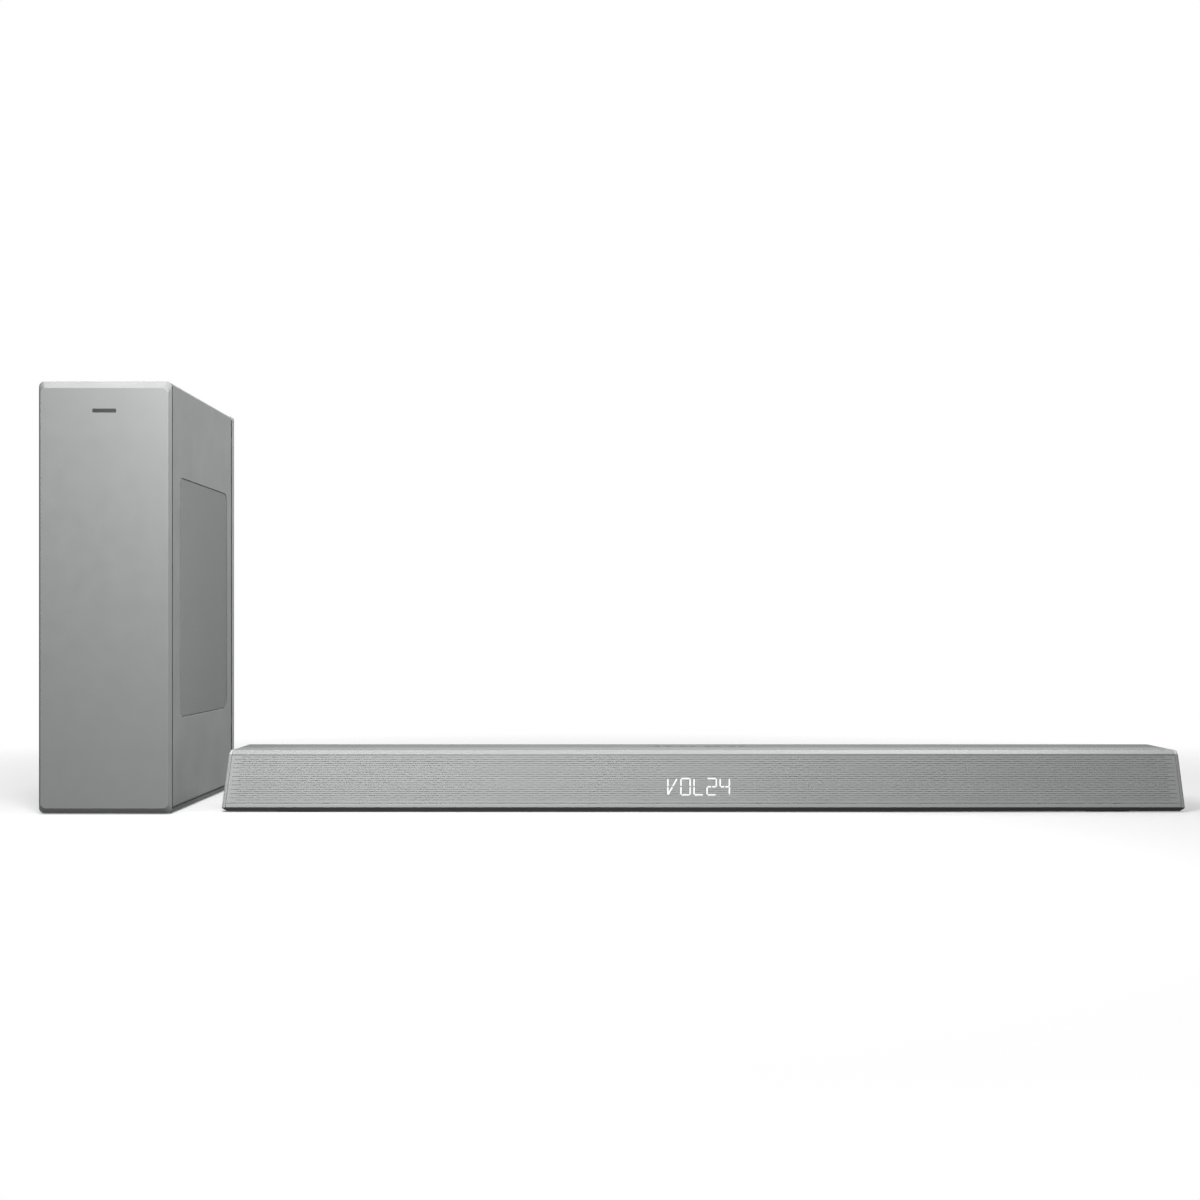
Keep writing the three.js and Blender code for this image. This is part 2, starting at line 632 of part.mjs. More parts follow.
function subCabinet() {
  const x = SUB_SIDE - 0.4;
  const top = SUB_HEIGHT - 0.6;
  const edge = CABINET_EDGE;
  const section = points(
    [-x + edge, SUB_BOTTOM], [x - edge, SUB_BOTTOM], [x, SUB_BOTTOM + edge], [x, top - edge],
    [x - edge, top], [-x + edge, top], [-x, top - edge], [-x, SUB_BOTTOM + edge]);
  const neck = block([-x + NECK_INSET, x - NECK_INSET],
    [FRONT_PANEL_BACK + GAP, REAR_PANEL_FRONT - GAP],
    [SUB_BOTTOM + NECK_INSET, top - NECK_INSET]);
  const cavity = block([-SUB_INNER, SUB_INNER],
    [CABINET_FRONT + BOARD, REAR_PANEL_FRONT - GAP - BOARD],
    [SUB_BOTTOM + BOARD, top - BOARD]);
  const [grilleWidth, grilleHeight] = SIDE_GRILLE_SIZE.map((side) => side + 2 * GAP);
  return cut(
    join(alongY(section, CABINET_FRONT, CABINET_BACK), neck),
    cavity,
    alongX(roundedRect(-grilleWidth / 2, grilleWidth / 2, SIDE_GRILLE_Z - grilleHeight / 2,
      SIDE_GRILLE_Z + grilleHeight / 2, 10.3), x - SIDE_GRILLE_POCKET, x + 1),
    alongX(circle(WOOFER_FLANGE_R + 0.5, 0, SIDE_GRILLE_Z, 48), WOOFER_SEAT_X, x + 1),
    alongX(circle(WOOFER_HOLE_R, 0, SIDE_GRILLE_Z, 48), SUB_INNER - 1, x + 1),
    alongY(circle(PORT_R + PORT_WALL + GAP, 0, PORT_Z), 100, REAR_PANEL_FRONT + 1),
    alongY(rect(AMP_OPENING, 0, AMP_PLATE_Z), 100, REAR_PANEL_FRONT + 1));
}

function subRearPanel() {
  const panel = loft([
    panelRing(REAR_PANEL_FRONT),
    panelRing(SUB_BACK - CABINET_EDGE),
    panelRing(SUB_BACK, { side: CABINET_EDGE, top: CABINET_EDGE, bottom: CABINET_EDGE }),
  ]);
  const pocket = AMP_PLATE_SIZE.map((side) => side + 2 * GAP);
  return cut(panel,
    alongY(circle(PORT_FLANGE_R + GAP, 0, PORT_Z), SUB_BACK - PORT_FLANGE, SUB_BACK + 1),
    alongY(circle(PORT_R + PORT_WALL + GAP, 0, PORT_Z), REAR_PANEL_FRONT - 1, SUB_BACK + 1),
    alongY(rect(pocket, 0, AMP_PLATE_Z),
      AMP_PLATE_BACK - AMP_PLATE_THICKNESS - GAP, SUB_BACK + 1),
    alongY(rect(AMP_OPENING, 0, AMP_PLATE_Z), REAR_PANEL_FRONT - 1, SUB_BACK + 1));
}

// Bass-reflex tube with a flared mouth, about its own axis, its mouth at y = 0.
const portTube = () => turnedY([
  [PORT_R, -PORT_LENGTH], [PORT_R, -12], [PORT_R + 1.2, -6], [PORT_R + 4.5, 0],
  [PORT_FLANGE_R, -0.6], [PORT_FLANGE_R, GAP - PORT_FLANGE],
  [PORT_R + PORT_WALL, GAP - PORT_FLANGE], [PORT_R + PORT_WALL, -PORT_LENGTH],
  [PORT_R, -PORT_LENGTH],
]);

function ampPlate() {
  const through = (outline) => alongY(
    outline, AMP_PLATE_BACK - AMP_PLATE_THICKNESS - 1, AMP_PLATE_BACK + 1);
  return cut(
    alongY(rect(AMP_PLATE_SIZE, 0, AMP_PLATE_Z), AMP_PLATE_BACK - AMP_PLATE_THICKNESS, AMP_PLATE_BACK),
    through(rect(INLET.size.map((side) => side + 2 * GAP), 0, INLET_Z)),
    through(circle(PAIR_BUTTON_R + BUTTON_CLEARANCE, 0, PAIR_BUTTON_Z, 20)),
    through(circle(LED_R + GAP, LED_X, PAIR_BUTTON_Z, 16)));
}

// The pairing button, about its axis, its face at y = 0.
const pairButton = () => join(
  alongY(circle(PAIR_BUTTON_R, 0, 0, 20), -5, 0),
  alongY(circle(PAIR_BUTTON_R + 1.5, 0, 0, 20), -5.8, -4.4));

// Amplifier board behind the rear plate.
function ampBoard() {
  const [back, front] = [134, 132.4];
  return join(
    block([-36, 36], [front, back], [66, 166]),
    block([-8, 8], [back - 0.5, 140.6], [PAIR_BUTTON_Z - 6, PAIR_BUTTON_Z + 6]),
    block([-26, 10], [100, front + 0.5], [84, 118]),
    alongY(circle(11, 22, 146, 20), 104, front + 0.5));
}

const subFeet = () => [-42, 42].flatMap((x) => [-118, 118].map((y) => [x, y]));

const subBasePlate = () => cut(
  block([-SUB_SIDE + 1.6, SUB_SIDE - 1.6],
    [FRONT_PANEL_BACK + GAP, REAR_PANEL_FRONT - GAP], [1.2, SUB_BOTTOM - GAP]),
  ...subFeet().map(([x, y]) =>
    alongZ(circle(SUB_FOOT_R + GAP, x, y, 24), 0, SUB_FOOT_TOP + GAP)));

// ---------------------------------------------------------------- subwoofer: woofer

// The woofer's pieces are turned about its axis, which runs along X.
const wooferFrame = () => turnedX([
  [COIL_R + 1.5, -3], [53, -3], [92.5, 45], [92.5, WOOFER_SEAT_X + GAP],
  [WOOFER_FLANGE_R, WOOFER_SEAT_X + GAP], [WOOFER_FLANGE_R, 56.4], [90, 56.4], [90, 46],
  [50, 0], [COIL_R + 1.5, 0], [COIL_R + 1.5, -3],
]);

const wooferMagnet = () => turnedX([
  [0, -26], [52, -26], [52, MAGNET_FACE], [COIL_R + 1.8, MAGNET_FACE], [COIL_R + 1.8, -18],
  [COIL_R - 3.6, -18], [COIL_R - 3.6, MAGNET_FACE], [0, MAGNET_FACE],
]);

const wooferCone = () => turnedX([
  [0, 38], [12, 36.5], [22, 30], [COIL_R - 1.6, 22], [COIL_R - 1.6, -6], [COIL_R, -6],
  [COIL_R, 20.5], [27, 20.5], [79.5, 48.4], [79.5, 50], [28, 24], [23, 33], [12.5, 38.4], [0, 40],
]);

function wooferSurround() {
  const [centre, x, outer, inner] = [84.9, 49, 4.8, 3.6];
  const roll = [...arc(centre, x, outer, 0, 180, 6), ...arc(centre, x, inner, 180, 0, 6)]
    .map((p) => [p.x, p.y]);
  return turnedX([...roll, roll[0]]);
}

// ---------------------------------------------------------------- subwoofer: assembly

function subwoofer() {
  const sub = new THREE.Group();
  sub.position.set(SUB_X, 0, 0);
  const axis = [0, 0, SIDE_GRILLE_Z];
  const cabinetSide = SUB_SIDE - 0.4;

  place(sub, 'sub_cabinet', subCabinet(), 'cabinet');
  place(sub, 'sub_front_panel', subFrontPanel(), 'panel');
  place(sub, 'sub_badge', alongY(rect(BADGE.size, 0, BADGE.z),
    -SUB_DEPTH / 2, FRONT_PANEL_FACE + BADGE.pocket - GAP), 'badge');
  place(sub, 'sub_rear_panel', subRearPanel(), 'cabinet');
  place(sub, 'sub_side_grille', alongX(
    roundedRect(-SIDE_GRILLE_SIZE[0] / 2, SIDE_GRILLE_SIZE[0] / 2,
      -SIDE_GRILLE_SIZE[1] / 2, SIDE_GRILLE_SIZE[1] / 2, 10),
    cabinetSide - 2.2, cabinetSide - 0.4), 'cloth', axis);
  place(sub, 'woofer_frame', wooferFrame(), 'steel', axis);
  place(sub, 'woofer_magnet', wooferMagnet(), 'magnet', axis);
  place(sub, 'woofer_cone', wooferCone(), 'paper', axis);
  place(sub, 'woofer_surround', wooferSurround(), 'rubber', axis);
  place(sub, 'port_tube', portTube(), 'black', [0, SUB_BACK, PORT_Z]);
  place(sub, 'sub_amp_plate', ampPlate(), 'black');
  place(sub, 'sub_mains_inlet', mainsInlet(), 'black', [0, AMP_PLATE_BACK + 0.4, INLET_Z]);
  place(sub, 'sub_pair_button', pairButton(), 'rubber', [0, SUB_BACK, PAIR_BUTTON_Z]);
  place(sub, 'sub_status_led',
    alongY(circle(LED_R, LED_X, PAIR_BUTTON_Z, 16), AMP_PLATE_BACK - 5, AMP_PLATE_BACK + 0.4), 'lens');
  place(sub, 'sub_amp_board', ampBoard(), 'board');
  place(sub, 'sub_base_plate', subBasePlate(), 'base');
  subFeet().forEach(([x, y], i) => place(sub, `sub_foot_${i + 1}`,
    alongZ(circle(SUB_FOOT_R, 0, 0, 24), 0, SUB_FOOT_TOP), 'rubber', [x, y, 0]));
  return sub;
}

const speakerSet = new THREE.Group();
speakerSet.add(soundbar(), subwoofer());

export default speakerSet;
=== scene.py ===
import json
import math

import bmesh
import bpy
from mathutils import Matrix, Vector


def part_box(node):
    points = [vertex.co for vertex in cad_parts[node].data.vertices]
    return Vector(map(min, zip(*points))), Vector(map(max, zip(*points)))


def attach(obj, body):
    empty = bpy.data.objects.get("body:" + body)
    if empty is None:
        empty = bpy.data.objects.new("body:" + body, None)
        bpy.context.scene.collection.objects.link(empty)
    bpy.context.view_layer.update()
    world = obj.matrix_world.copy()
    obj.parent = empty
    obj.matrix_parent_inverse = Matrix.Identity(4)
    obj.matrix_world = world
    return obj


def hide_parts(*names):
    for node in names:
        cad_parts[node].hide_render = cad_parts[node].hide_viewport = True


# A soundbar and its wireless subwoofer. Everything is in metres in the frame's own axes: +Z up,
# +X to the listener's right, the listener at -Y. Lengths are written in millimetres times MM.

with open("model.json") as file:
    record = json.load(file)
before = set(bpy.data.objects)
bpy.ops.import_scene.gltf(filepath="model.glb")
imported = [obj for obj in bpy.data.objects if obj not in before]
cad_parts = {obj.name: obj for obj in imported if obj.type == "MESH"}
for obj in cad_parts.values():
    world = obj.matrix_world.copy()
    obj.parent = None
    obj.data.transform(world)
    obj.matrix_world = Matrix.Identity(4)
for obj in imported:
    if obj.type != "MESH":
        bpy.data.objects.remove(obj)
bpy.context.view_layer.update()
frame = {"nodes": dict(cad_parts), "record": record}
record = frame["record"]

MM = 0.001
BODY_OF = {
    node: body
    for body, nodes in record["behaviour"]["bodies"].items()
    for node in nodes
}


# ---------------------------------------------------------------- places, from the frame

def middle(node):
    low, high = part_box(node)
    return (low + high) / 2


BASE_LOW, BASE_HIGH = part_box("base_plate")
BASE_CENTRE = middle("base_plate")
BAR_X = BASE_CENTRE.x
BAR_FRONT = BASE_LOW.y
BAR_BACK = BASE_HIGH.y
GRILLE_LOW, GRILLE_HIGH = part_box("front_grille")
BAR_TOP = GRILLE_HIGH.z
GRILLE_BOTTOM = GRILLE_LOW.z
GRILLE_BACK = GRILLE_HIGH.y
TRIM_BOTTOM, TRIM_TOP = [corner.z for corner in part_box("lower_trim")]
DISPLAY_Z = middle("display_lens").z
SOCKET_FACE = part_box("usb_socket")[1].y
SUB_X = middle("sub_front_panel").x
SUB_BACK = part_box("sub_rear_panel")[1].y
AMP_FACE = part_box("sub_amp_plate")[1].y

BASE_TOP = BASE_HIGH.z
BAR_HALF = (BASE_HIGH.x - BASE_LOW.x) / 2
END_LEAN = 7 / 53.7              # how far each end leans in for each unit of height
PIECE_INSET = 3.5 * MM           # full-length pieces stand this far back from the ends
SHEET = 1.2 * MM                 # grille sheet where it turns over the top
BEVEL = 3.5 * MM                 # bevel along the grille's top front edge
BEVEL_EASE = 0.7 * MM            # radius along both sides of that bevel
CORNER = 3 * MM                  # radius of the housing's rear top edge
CAP_THICKNESS = 3.2 * MM
CAP_EDGE = 1.8 * MM


def half_width(z):
    return BAR_HALF - (z - BASE_TOP) * END_LEAN


# ---------------------------------------------------------------- pieces

SAME_POINT = 0.002 * MM
FLAT_WITHIN = 1                  # degrees between faces that count as one
SHARP = 30                       # degrees from which an edge is rounded


def add_piece(name, mesh, material, body, nodes):
    piece = bpy.data.objects.new(name, mesh)
    bpy.context.scene.collection.objects.link(piece)
    mesh.materials.clear()
    mesh.materials.append(material)
    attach(piece, body)
    if nodes:
        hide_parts(*nodes)
    return piece


def smooth(mesh, angle=35):
    mesh.polygons.foreach_set("use_smooth", [True] * len(mesh.polygons))
    mesh.set_sharp_from_angle(angle=math.radians(angle))


# A shape is a list of points and a list of faces that index them.
def mesh_of(name, shape):
    mesh = bpy.data.meshes.new(name)
    mesh.from_pydata([tuple(p) for p in shape[0]], [], shape[1])
    turned_out = bmesh.new()
    turned_out.from_mesh(mesh)
    bmesh.ops.recalc_face_normals(turned_out, faces=turned_out.faces)
    turned_out.to_mesh(mesh)
    turned_out.free()
    smooth(mesh)
    return mesh


def weighted(piece):
    normals = piece.modifiers.new("flat faces stay flat", "WEIGHTED_NORMAL")
    normals.mode = "FACE_AREA"
    normals.weight = 100
    normals.keep_sharp = True
    return piece


def made(name, shape, material, body, nodes=()):
    return weighted(add_piece(name, mesh_of(name, shape), material, body, nodes))


# The piece that stands for one CAD node: it takes the node's body, and the node is hidden.
def stand_in(node, shape, material, tail="fine"):
    return made(f"{node}.{tail}", shape, material, BODY_OF[node], [node])


def bevelled(piece, width, segments, angle):
    bevel = piece.modifiers.new("rounded edges", "BEVEL")
    bevel.width = width
    bevel.segments = segments
    bevel.limit_method = "ANGLE"
    bevel.angle_limit = math.radians(angle)
    smooth(piece.data, 180)
    return weighted(piece)


# A copy of a CAD node with its edges rounded, or left sharp where the width is zero.
def refined(node, material, width=0.4 * MM, segments=2):
    mesh = frame["nodes"][node].data.copy()
    merged_faces = bmesh.new()
    merged_faces.from_mesh(mesh)
    bmesh.ops.remove_doubles(merged_faces, verts=merged_faces.verts, dist=SAME_POINT)
    bmesh.ops.dissolve_limit(merged_faces, angle_limit=math.radians(FLAT_WITHIN),
                             verts=merged_faces.verts, edges=merged_faces.edges)
    merged_faces.to_mesh(mesh)
    merged_faces.free()
    mesh.polygons.foreach_set("material_index", [0] * len(mesh.polygons))
    piece = add_piece(f"{node}.fine", mesh, material, BODY_OF[node], [node])
    if width:
        return bevelled(piece, width, segments, SHARP)
    smooth(mesh, SHARP)
    return piece


# CAD nodes that keep their own shape and only take a material.
def dressed(material, *nodes):
    for node in nodes:
        for slot in frame["nodes"][node].material_slots:
            slot.material = material


# ---------------------------------------------------------------- outlines and shapes

EASE_STEPS = 4                   # pieces of each arc of an eased outline
DOME_STEPS = 5                   # rings of a rounded-over edge


def arc(cx, cy, radius, start, end, steps):
    angles = [math.radians(start + (end - start) * i / steps) for i in range(steps + 1)]
    return [(cx + radius * math.cos(a), cy + radius * math.sin(a)) for a in angles]


def circle(radius, steps, cx=0.0, cy=0.0):
    return arc(cx, cy, radius, 0, 360, steps)[:-1]


def rounded_rect(width, height, radius, cx=0.0, cy=0.0, steps=8):
    x, y = width / 2 - radius, height / 2 - radius
    return [
        *arc(cx - x, cy - y, radius, 180, 270, steps),
        *arc(cx + x, cy - y, radius, 270, 360, steps),
        *arc(cx + x, cy + y, radius, 0, 90, steps),
        *arc(cx - x, cy + y, radius, 90, 180, steps),
    ]


def rect(width, height, cx=0.0, cy=0.0):
    x, y = width / 2, height / 2
    return [(cx - x, cy - y), (cx + x, cy - y), (cx + x, cy + y), (cx - x, cy + y)]


# A closed outline with each corner turned into an arc of its own radius.
def eased(outline, radii):
    result = []
    for i, corner in enumerate(outline):
        if radii[i] == 0:
            result.append(tuple(corner))
            continue
        here = Vector(corner)
        before = (Vector(outline[i - 1]) - here).normalized()
        after = (Vector(outline[(i + 1) % len(outline)]) - here).normalized()
        half = before.angle(after) / 2
        centre = here + (before + after).normalized() * (radii[i] / math.sin(half))
        first = here + before * (radii[i] / math.tan(half)) - centre
        last = here + after * (radii[i] / math.tan(half)) - centre
        turn = math.pi - 2 * half
        for k in range(EASE_STEPS + 1):
            share = k / EASE_STEPS
            point = centre + (first * math.sin((1 - share) * turn)
                              + last * math.sin(share * turn)) / math.sin(turn)
            result.append((point.x, point.y))
    return result


# Where a point of an outline lies: u and v across the outline, w along the axis.
def on_x(u, v, w):
    return Vector((w, u, v))


def on_y(u, v, w):
    return Vector((u, w, v))


def on_z(u, v, w):
    return Vector((u, v, w))


def moved(place, x, y, z=0.0):
    shift = Vector((x, y, z))
    return lambda u, v, w: place(u, v, w) + shift


# The axis along Y through a node's middle, with w = 0 at the given y.
def axis_of(node, y=0.0):
    return moved(on_y, middle(node).x, y, middle(node).z)


def merged(*shapes):
    points, faces = [], []
    for shape_points, shape_faces in shapes:
        start = len(points)
        points.extend(shape_points)
        faces.extend([[start + i for i in face] for face in shape_faces])
    return points, faces


# A solid through a stack of rings that have the same number of points.
def loft(rings):
    count = len(rings[0])
    points = [p for ring in rings for p in ring]
    faces = []
    for r in range(len(rings) - 1):
        for i in range(count):
            a, b = r * count + i, r * count + (i + 1) % count
            faces.append([a, b, b + count, a + count])
    faces.append(list(range(count))[::-1])
    faces.append([(len(rings) - 1) * count + i for i in range(count)])
    return points, faces


def prism(outline, place, low, high):
    return loft([[place(u, v, w) for u, v in outline] for w in (low, high)])


# A solid of one outline whose far edge is rounded over. outline_at gives the outline at an inset.
def domed(outline_at, place, low, high, radius):
    sign = 1 if high > low else -1
    rings = [[place(u, v, low) for u, v in outline_at(0.0)]]
    for inset, rise in arc(radius, 0, radius, 180, 90, DOME_STEPS):
        w = high - sign * (radius - rise)
        rings.append([place(u, v, w) for u, v in outline_at(inset)])
    return loft(rings)


# A turned solid. profile holds (radius, place along the axis) and closes on itself.
def turned(profile, place, steps):
    points, faces, rows = [], [], []
    for radius, along in profile:
        if radius == 0:
            rows.append([len(points)] * steps)
            points.append(place(0.0, 0.0, along))
        else:
            rows.append([len(points) + i for i in range(steps)])
            points.extend(place(u, v, along) for u, v in circle(radius, steps))
    for first, second in zip(rows, rows[1:] + rows[:1]):
        if first[0] == first[1] and second[0] == second[1]:
            continue
        for i in range(steps):
            j = (i + 1) % steps
            corners = [first[i], first[j], second[j], second[i]]
            faces.append(list(dict.fromkeys(corners)))
    return points, faces


# A flat region of points and faces, made into a plate from w = low to w = high.
def plate(points, faces, place, low, high):
    count = len(points)
    solid = [place(u, v, low) for u, v in points] + [place(u, v, high) for u, v in points]
    sides = {pair for face in faces for pair in zip(face, face[1:] + face[:1])}
    walls = [[b, a, a + count, b + count] for a, b in sides if (b, a) not in sides]
    backs = [[i + count for i in reversed(face)] for face in faces]
    return solid, [list(face) for face in faces] + backs + sorted(walls)


def ring_plate(outer, inner, place, low, high):
    count = len(outer)
    faces = [[i, (i + 1) % count, count + (i + 1) % count, count + i] for i in range(count)]
    return plate(outer + inner, faces, place, low, high)


# ---------------------------------------------------------------- materials

# Noise scales are in steps to the metre. A brushed one is along X and across it.
BRUSHED_FINE = (14, 1300, 1300)
BRUSHED_BROAD = (3, 240, 240)
BRUSHED_DEPTH = 0.003 * MM
TONE_SCALE = 22                  # slow changes of tone over a moulding
PEEL_SCALE = 60                  # slow changes of gloss over the lacquer
GLOW_SCALE = 900
ROUGHNESS_SPREAD = 0.05          # either side of a material's own roughness
FLAKE = 0.35 * MM
FLAKE_DEPTH = 0.002 * MM
FLAKE_CONTRAST = 0.035
PEEL = 3 * MM                    # width of the orange peel's waves
PEEL_DEPTH = 0.004 * MM
FIBRE = 0.12 * MM
THREAD_DEPTH = 0.12 * MM
THREAD_CONTRAST = 0.35


def link(material, source, target):
    material.node_tree.links.new(source, target)


def new_material(name, colour, roughness, metallic=0.0, specular=0.5):
    material = bpy.data.materials.new(name)
    material.use_nodes = True
    shader = material.node_tree.nodes["Principled BSDF"]
    shader.inputs["Base Color"].default_value = (*colour, 1)
    shader.inputs["Roughness"].default_value = roughness
    shader.inputs["Metallic"].default_value = metallic
    shader.inputs["Specular IOR Level"].default_value = specular
    return material, shader


# Object coordinates, which are the frame's own, scaled along each axis.
def coordinates(material, scale=(1, 1, 1)):
    source = material.node_tree.nodes.new("ShaderNodeTexCoord")
    mapping = material.node_tree.nodes.new("ShaderNodeMapping")
    mapping.inputs["Scale"].default_value = scale
    link(material, source.outputs["Object"], mapping.inputs["Vector"])
    return mapping.outputs["Vector"]


def noise(material, scale, detail=3.0):
    scale = scale if isinstance(scale, tuple) else (scale, scale, scale)
    texture = material.node_tree.nodes.new("ShaderNodeTexNoise")
    texture.inputs["Scale"].default_value = 1.0
    texture.inputs["Detail"].default_value = detail
    link(material, coordinates(material, scale), texture.inputs["Vector"])
    return texture.outputs["Fac"]


# Threads along one axis: a rounded ridge for each step of pitch. At a scale of 1 the bands
# repeat every pi / 10.
def threads(material, direction, pitch):
    texture = material.node_tree.nodes.new("ShaderNodeTexWave")
    texture.wave_type = "BANDS"
    texture.bands_direction = direction
    texture.inputs["Scale"].default_value = math.pi / 10 / pitch
    link(material, coordinates(material), texture.inputs["Vector"])
    return texture.outputs["Fac"]


def checks(material, scale):
    texture = material.node_tree.nodes.new("ShaderNodeTexChecker")
    texture.inputs["Scale"].default_value = 1.0
    link(material, coordinates(material, scale), texture.inputs["Vector"])
    return texture.outputs["Fac"]


def spread(material, value, low, high, start=0.3, end=0.7):
    ramp = material.node_tree.nodes.new("ShaderNodeMapRange")
    ramp.inputs["From Min"].default_value = start
    ramp.inputs["From Max"].default_value = end
    ramp.inputs["To Min"].default_value = low
    ramp.inputs["To Max"].default_value = high
    link(material, value, ramp.inputs["Value"])
    return ramp.outputs["Result"]


def mixed(material, factor, first, second):
    mix = material.node_tree.nodes.new("ShaderNodeMix")
    link(material, factor, mix.inputs["Factor"])
    link(material, first, mix.inputs["A"])
    link(material, second, mix.inputs["B"])
    return mix.outputs["Result"]


def tinted(material, shader, factor, colour, contrast):
    mix = material.node_tree.nodes.new("ShaderNodeMix")
    mix.data_type = "RGBA"
    dark, light = [[c * (1 + side * contrast) for c in colour] for side in (-1, 1)]
    mix.inputs["A"].default_value = (*dark, 1)
    mix.inputs["B"].default_value = (*light, 1)
    link(material, factor, mix.inputs["Factor"])
    link(material, mix.outputs["Result"], shader.inputs["Base Color"])
    return mix.outputs["Result"]


def bumped(material, shader, height, depth, under=None):
    bump = material.node_tree.nodes.new("ShaderNodeBump")
    bump.inputs["Distance"].default_value = depth
    link(material, height, bump.inputs["Height"])
    if under:
        link(material, under, bump.inputs["Normal"])
    link(material, bump.outputs["Normal"], shader.inputs["Normal"])
    return bump.outputs["Normal"]


def varied_roughness(material, shader, value, roughness, by=ROUGHNESS_SPREAD):
    rough = spread(material, value, roughness - by, roughness + by)
    link(material, rough, shader.inputs["Roughness"])


# Metal brushed along X, its lines under a millimetre apart.
def brushed(name, colour, roughness, metallic, contrast=0.05):
    material, shader = new_material(name, colour, roughness, metallic)
    fine = noise(material, BRUSHED_FINE, detail=4)
    broad = noise(material, BRUSHED_BROAD, detail=2)
    lines = mixed(material, broad, fine, broad)
    tinted(material, shader, spread(material, lines, 0, 1), colour, contrast)
    varied_roughness(material, shader, fine, roughness)
    bumped(material, shader, fine, BRUSHED_DEPTH)
    return material


# Moulded plastic, rubber, castings and powder coats: an even grain over slow changes of tone.
def grained(name, colour, roughness, grain, depth, metallic=0.0, contrast=0.06, specular=0.5):
    material, shader = new_material(name, colour, roughness, metallic, specular)
    pits = noise(material, 1 / grain, detail=2)
    slow = noise(material, TONE_SCALE, detail=4)
    tinted(material, shader, spread(material, slow, 0, 1), colour, contrast)
    varied_roughness(material, shader, pits, roughness)
    bumped(material, shader, pits, depth)
    return material


# Metallic lacquer: fine flakes and a very slight orange peel.
def lacquered(name, colour, roughness, metallic):
    material, shader = new_material(name, colour, roughness, metallic)
    flakes = noise(material, 1 / FLAKE, detail=3)
    tinted(material, shader, spread(material, flakes, 0, 1), colour, FLAKE_CONTRAST)
    varied_roughness(material, shader, noise(material, PEEL_SCALE, detail=3), roughness, 0.03)
    peel = bumped(material, shader, noise(material, 1 / PEEL, detail=1), PEEL_DEPTH)
    bumped(material, shader, flakes, FLAKE_DEPTH, peel)
    return material


# Plain-weave cloth lying in the plane of two axes, such as "YZ".
def woven(name, colour, roughness, axes, pitch):
    material, shader = new_material(name, colour, roughness, specular=0.2)
    shader.inputs["Sheen Weight"].default_value = 0.15
    across, along = [threads(material, axis, pitch) for axis in axes]
    cell = tuple(1 / pitch if axis in axes else 0.0 for axis in "XYZ")
    weave = mixed(material, checks(material, cell), across, along)
    fibre = noise(material, 1 / FIBRE, detail=2)
    tinted(material, shader, spread(material, weave, 0, 1, 0, 1), colour, THREAD_CONTRAST)
    varied_roughness(material, shader, fibre, roughness, 0.06)
    bumped(material, shader, weave, THREAD_DEPTH)
    return material


def glowing(name, colour, strength):
    material, shader = new_material(name, colour, 0.4)
    grain = spread(material, noise(material, GLOW_SCALE), 0, 1)
    glow = tinted(material, shader, grain, colour, 0.02)
    link(material, glow, shader.inputs["Emission Color"])
    shader.inputs["Emission Strength"].default_value = strength
    return material


GREY = (0.970, 1.000, 0.985)     # the set's very slightly green silver-grey, at full brightness


def grey(value):
    return tuple(value * c for c in GREY)


GRILLE = brushed("grille aluminium", grey(0.56), 0.46, 0.3, contrast=0.045)
# The grille sheet where it folds over the top: the same aluminium as its slotted front, but given
# a darker grey as painted shade that dims its top and bevel.
SHADED_FOLD = brushed("folded aluminium darkened as painted shade", grey(0.345), 0.5, 0.3, contrast=0.04)
CAP = brushed("end cap aluminium", grey(0.54), 0.44, 0.3, contrast=0.03)
TRIM = brushed("trim aluminium", grey(0.50), 0.5, 0.2, contrast=0.03)
BADGE = brushed("badge metal", grey(0.09), 0.38, 0.7, contrast=0.05)
HOUSING = grained("housing plastic", grey(0.18), 0.62, 0.55 * MM, 0.03 * MM, specular=0.2)
BASE = grained("base plastic", (0.07, 0.071, 0.072), 0.6, 0.6 * MM, 0.03 * MM)
RUBBER = grained("foot rubber", (0.015, 0.015, 0.015), 0.85, 0.9 * MM, 0.05 * MM, specular=0.3)
BLACK = grained("black plastic", (0.027, 0.027, 0.028), 0.45, 0.5 * MM, 0.02 * MM)
BUTTON = grained("button plastic", (0.05, 0.051, 0.052), 0.5, 0.35 * MM, 0.012 * MM)
SYMBOL = grained("symbol print", (0.62, 0.63, 0.62), 0.5, 0.3 * MM, 0.005 * MM)
PANEL = lacquered("panel lacquer", grey(0.325), 0.46, 0.4)
CABINET = grained("cabinet foil", grey(0.43), 0.5, 0.7 * MM, 0.03 * MM, metallic=0.15)
CLOTH = woven("side grille cloth", grey(0.20), 0.9, "YZ", 1.1 * MM)
BACKING = woven("front grille cloth", grey(0.36), 0.9, "XZ", 0.7 * MM)
STEEL = brushed("plated steel", (0.52, 0.53, 0.54), 0.32, 1.0, contrast=0.04)
SINK = brushed("sink aluminium", (0.5, 0.5, 0.51), 0.4, 1.0)
FERRITE = grained("magnet ferrite", (0.04, 0.042, 0.045), 0.6, 0.8 * MM, 0.04 * MM, metallic=0.3)
PAPER = grained("cone paper", (0.03, 0.031, 0.033), 0.85, 0.9 * MM, 0.08 * MM, contrast=0.2)
SURROUND = grained("surround rubber", (0.02, 0.02, 0.02), 0.7, 0.5 * MM, 0.02 * MM)
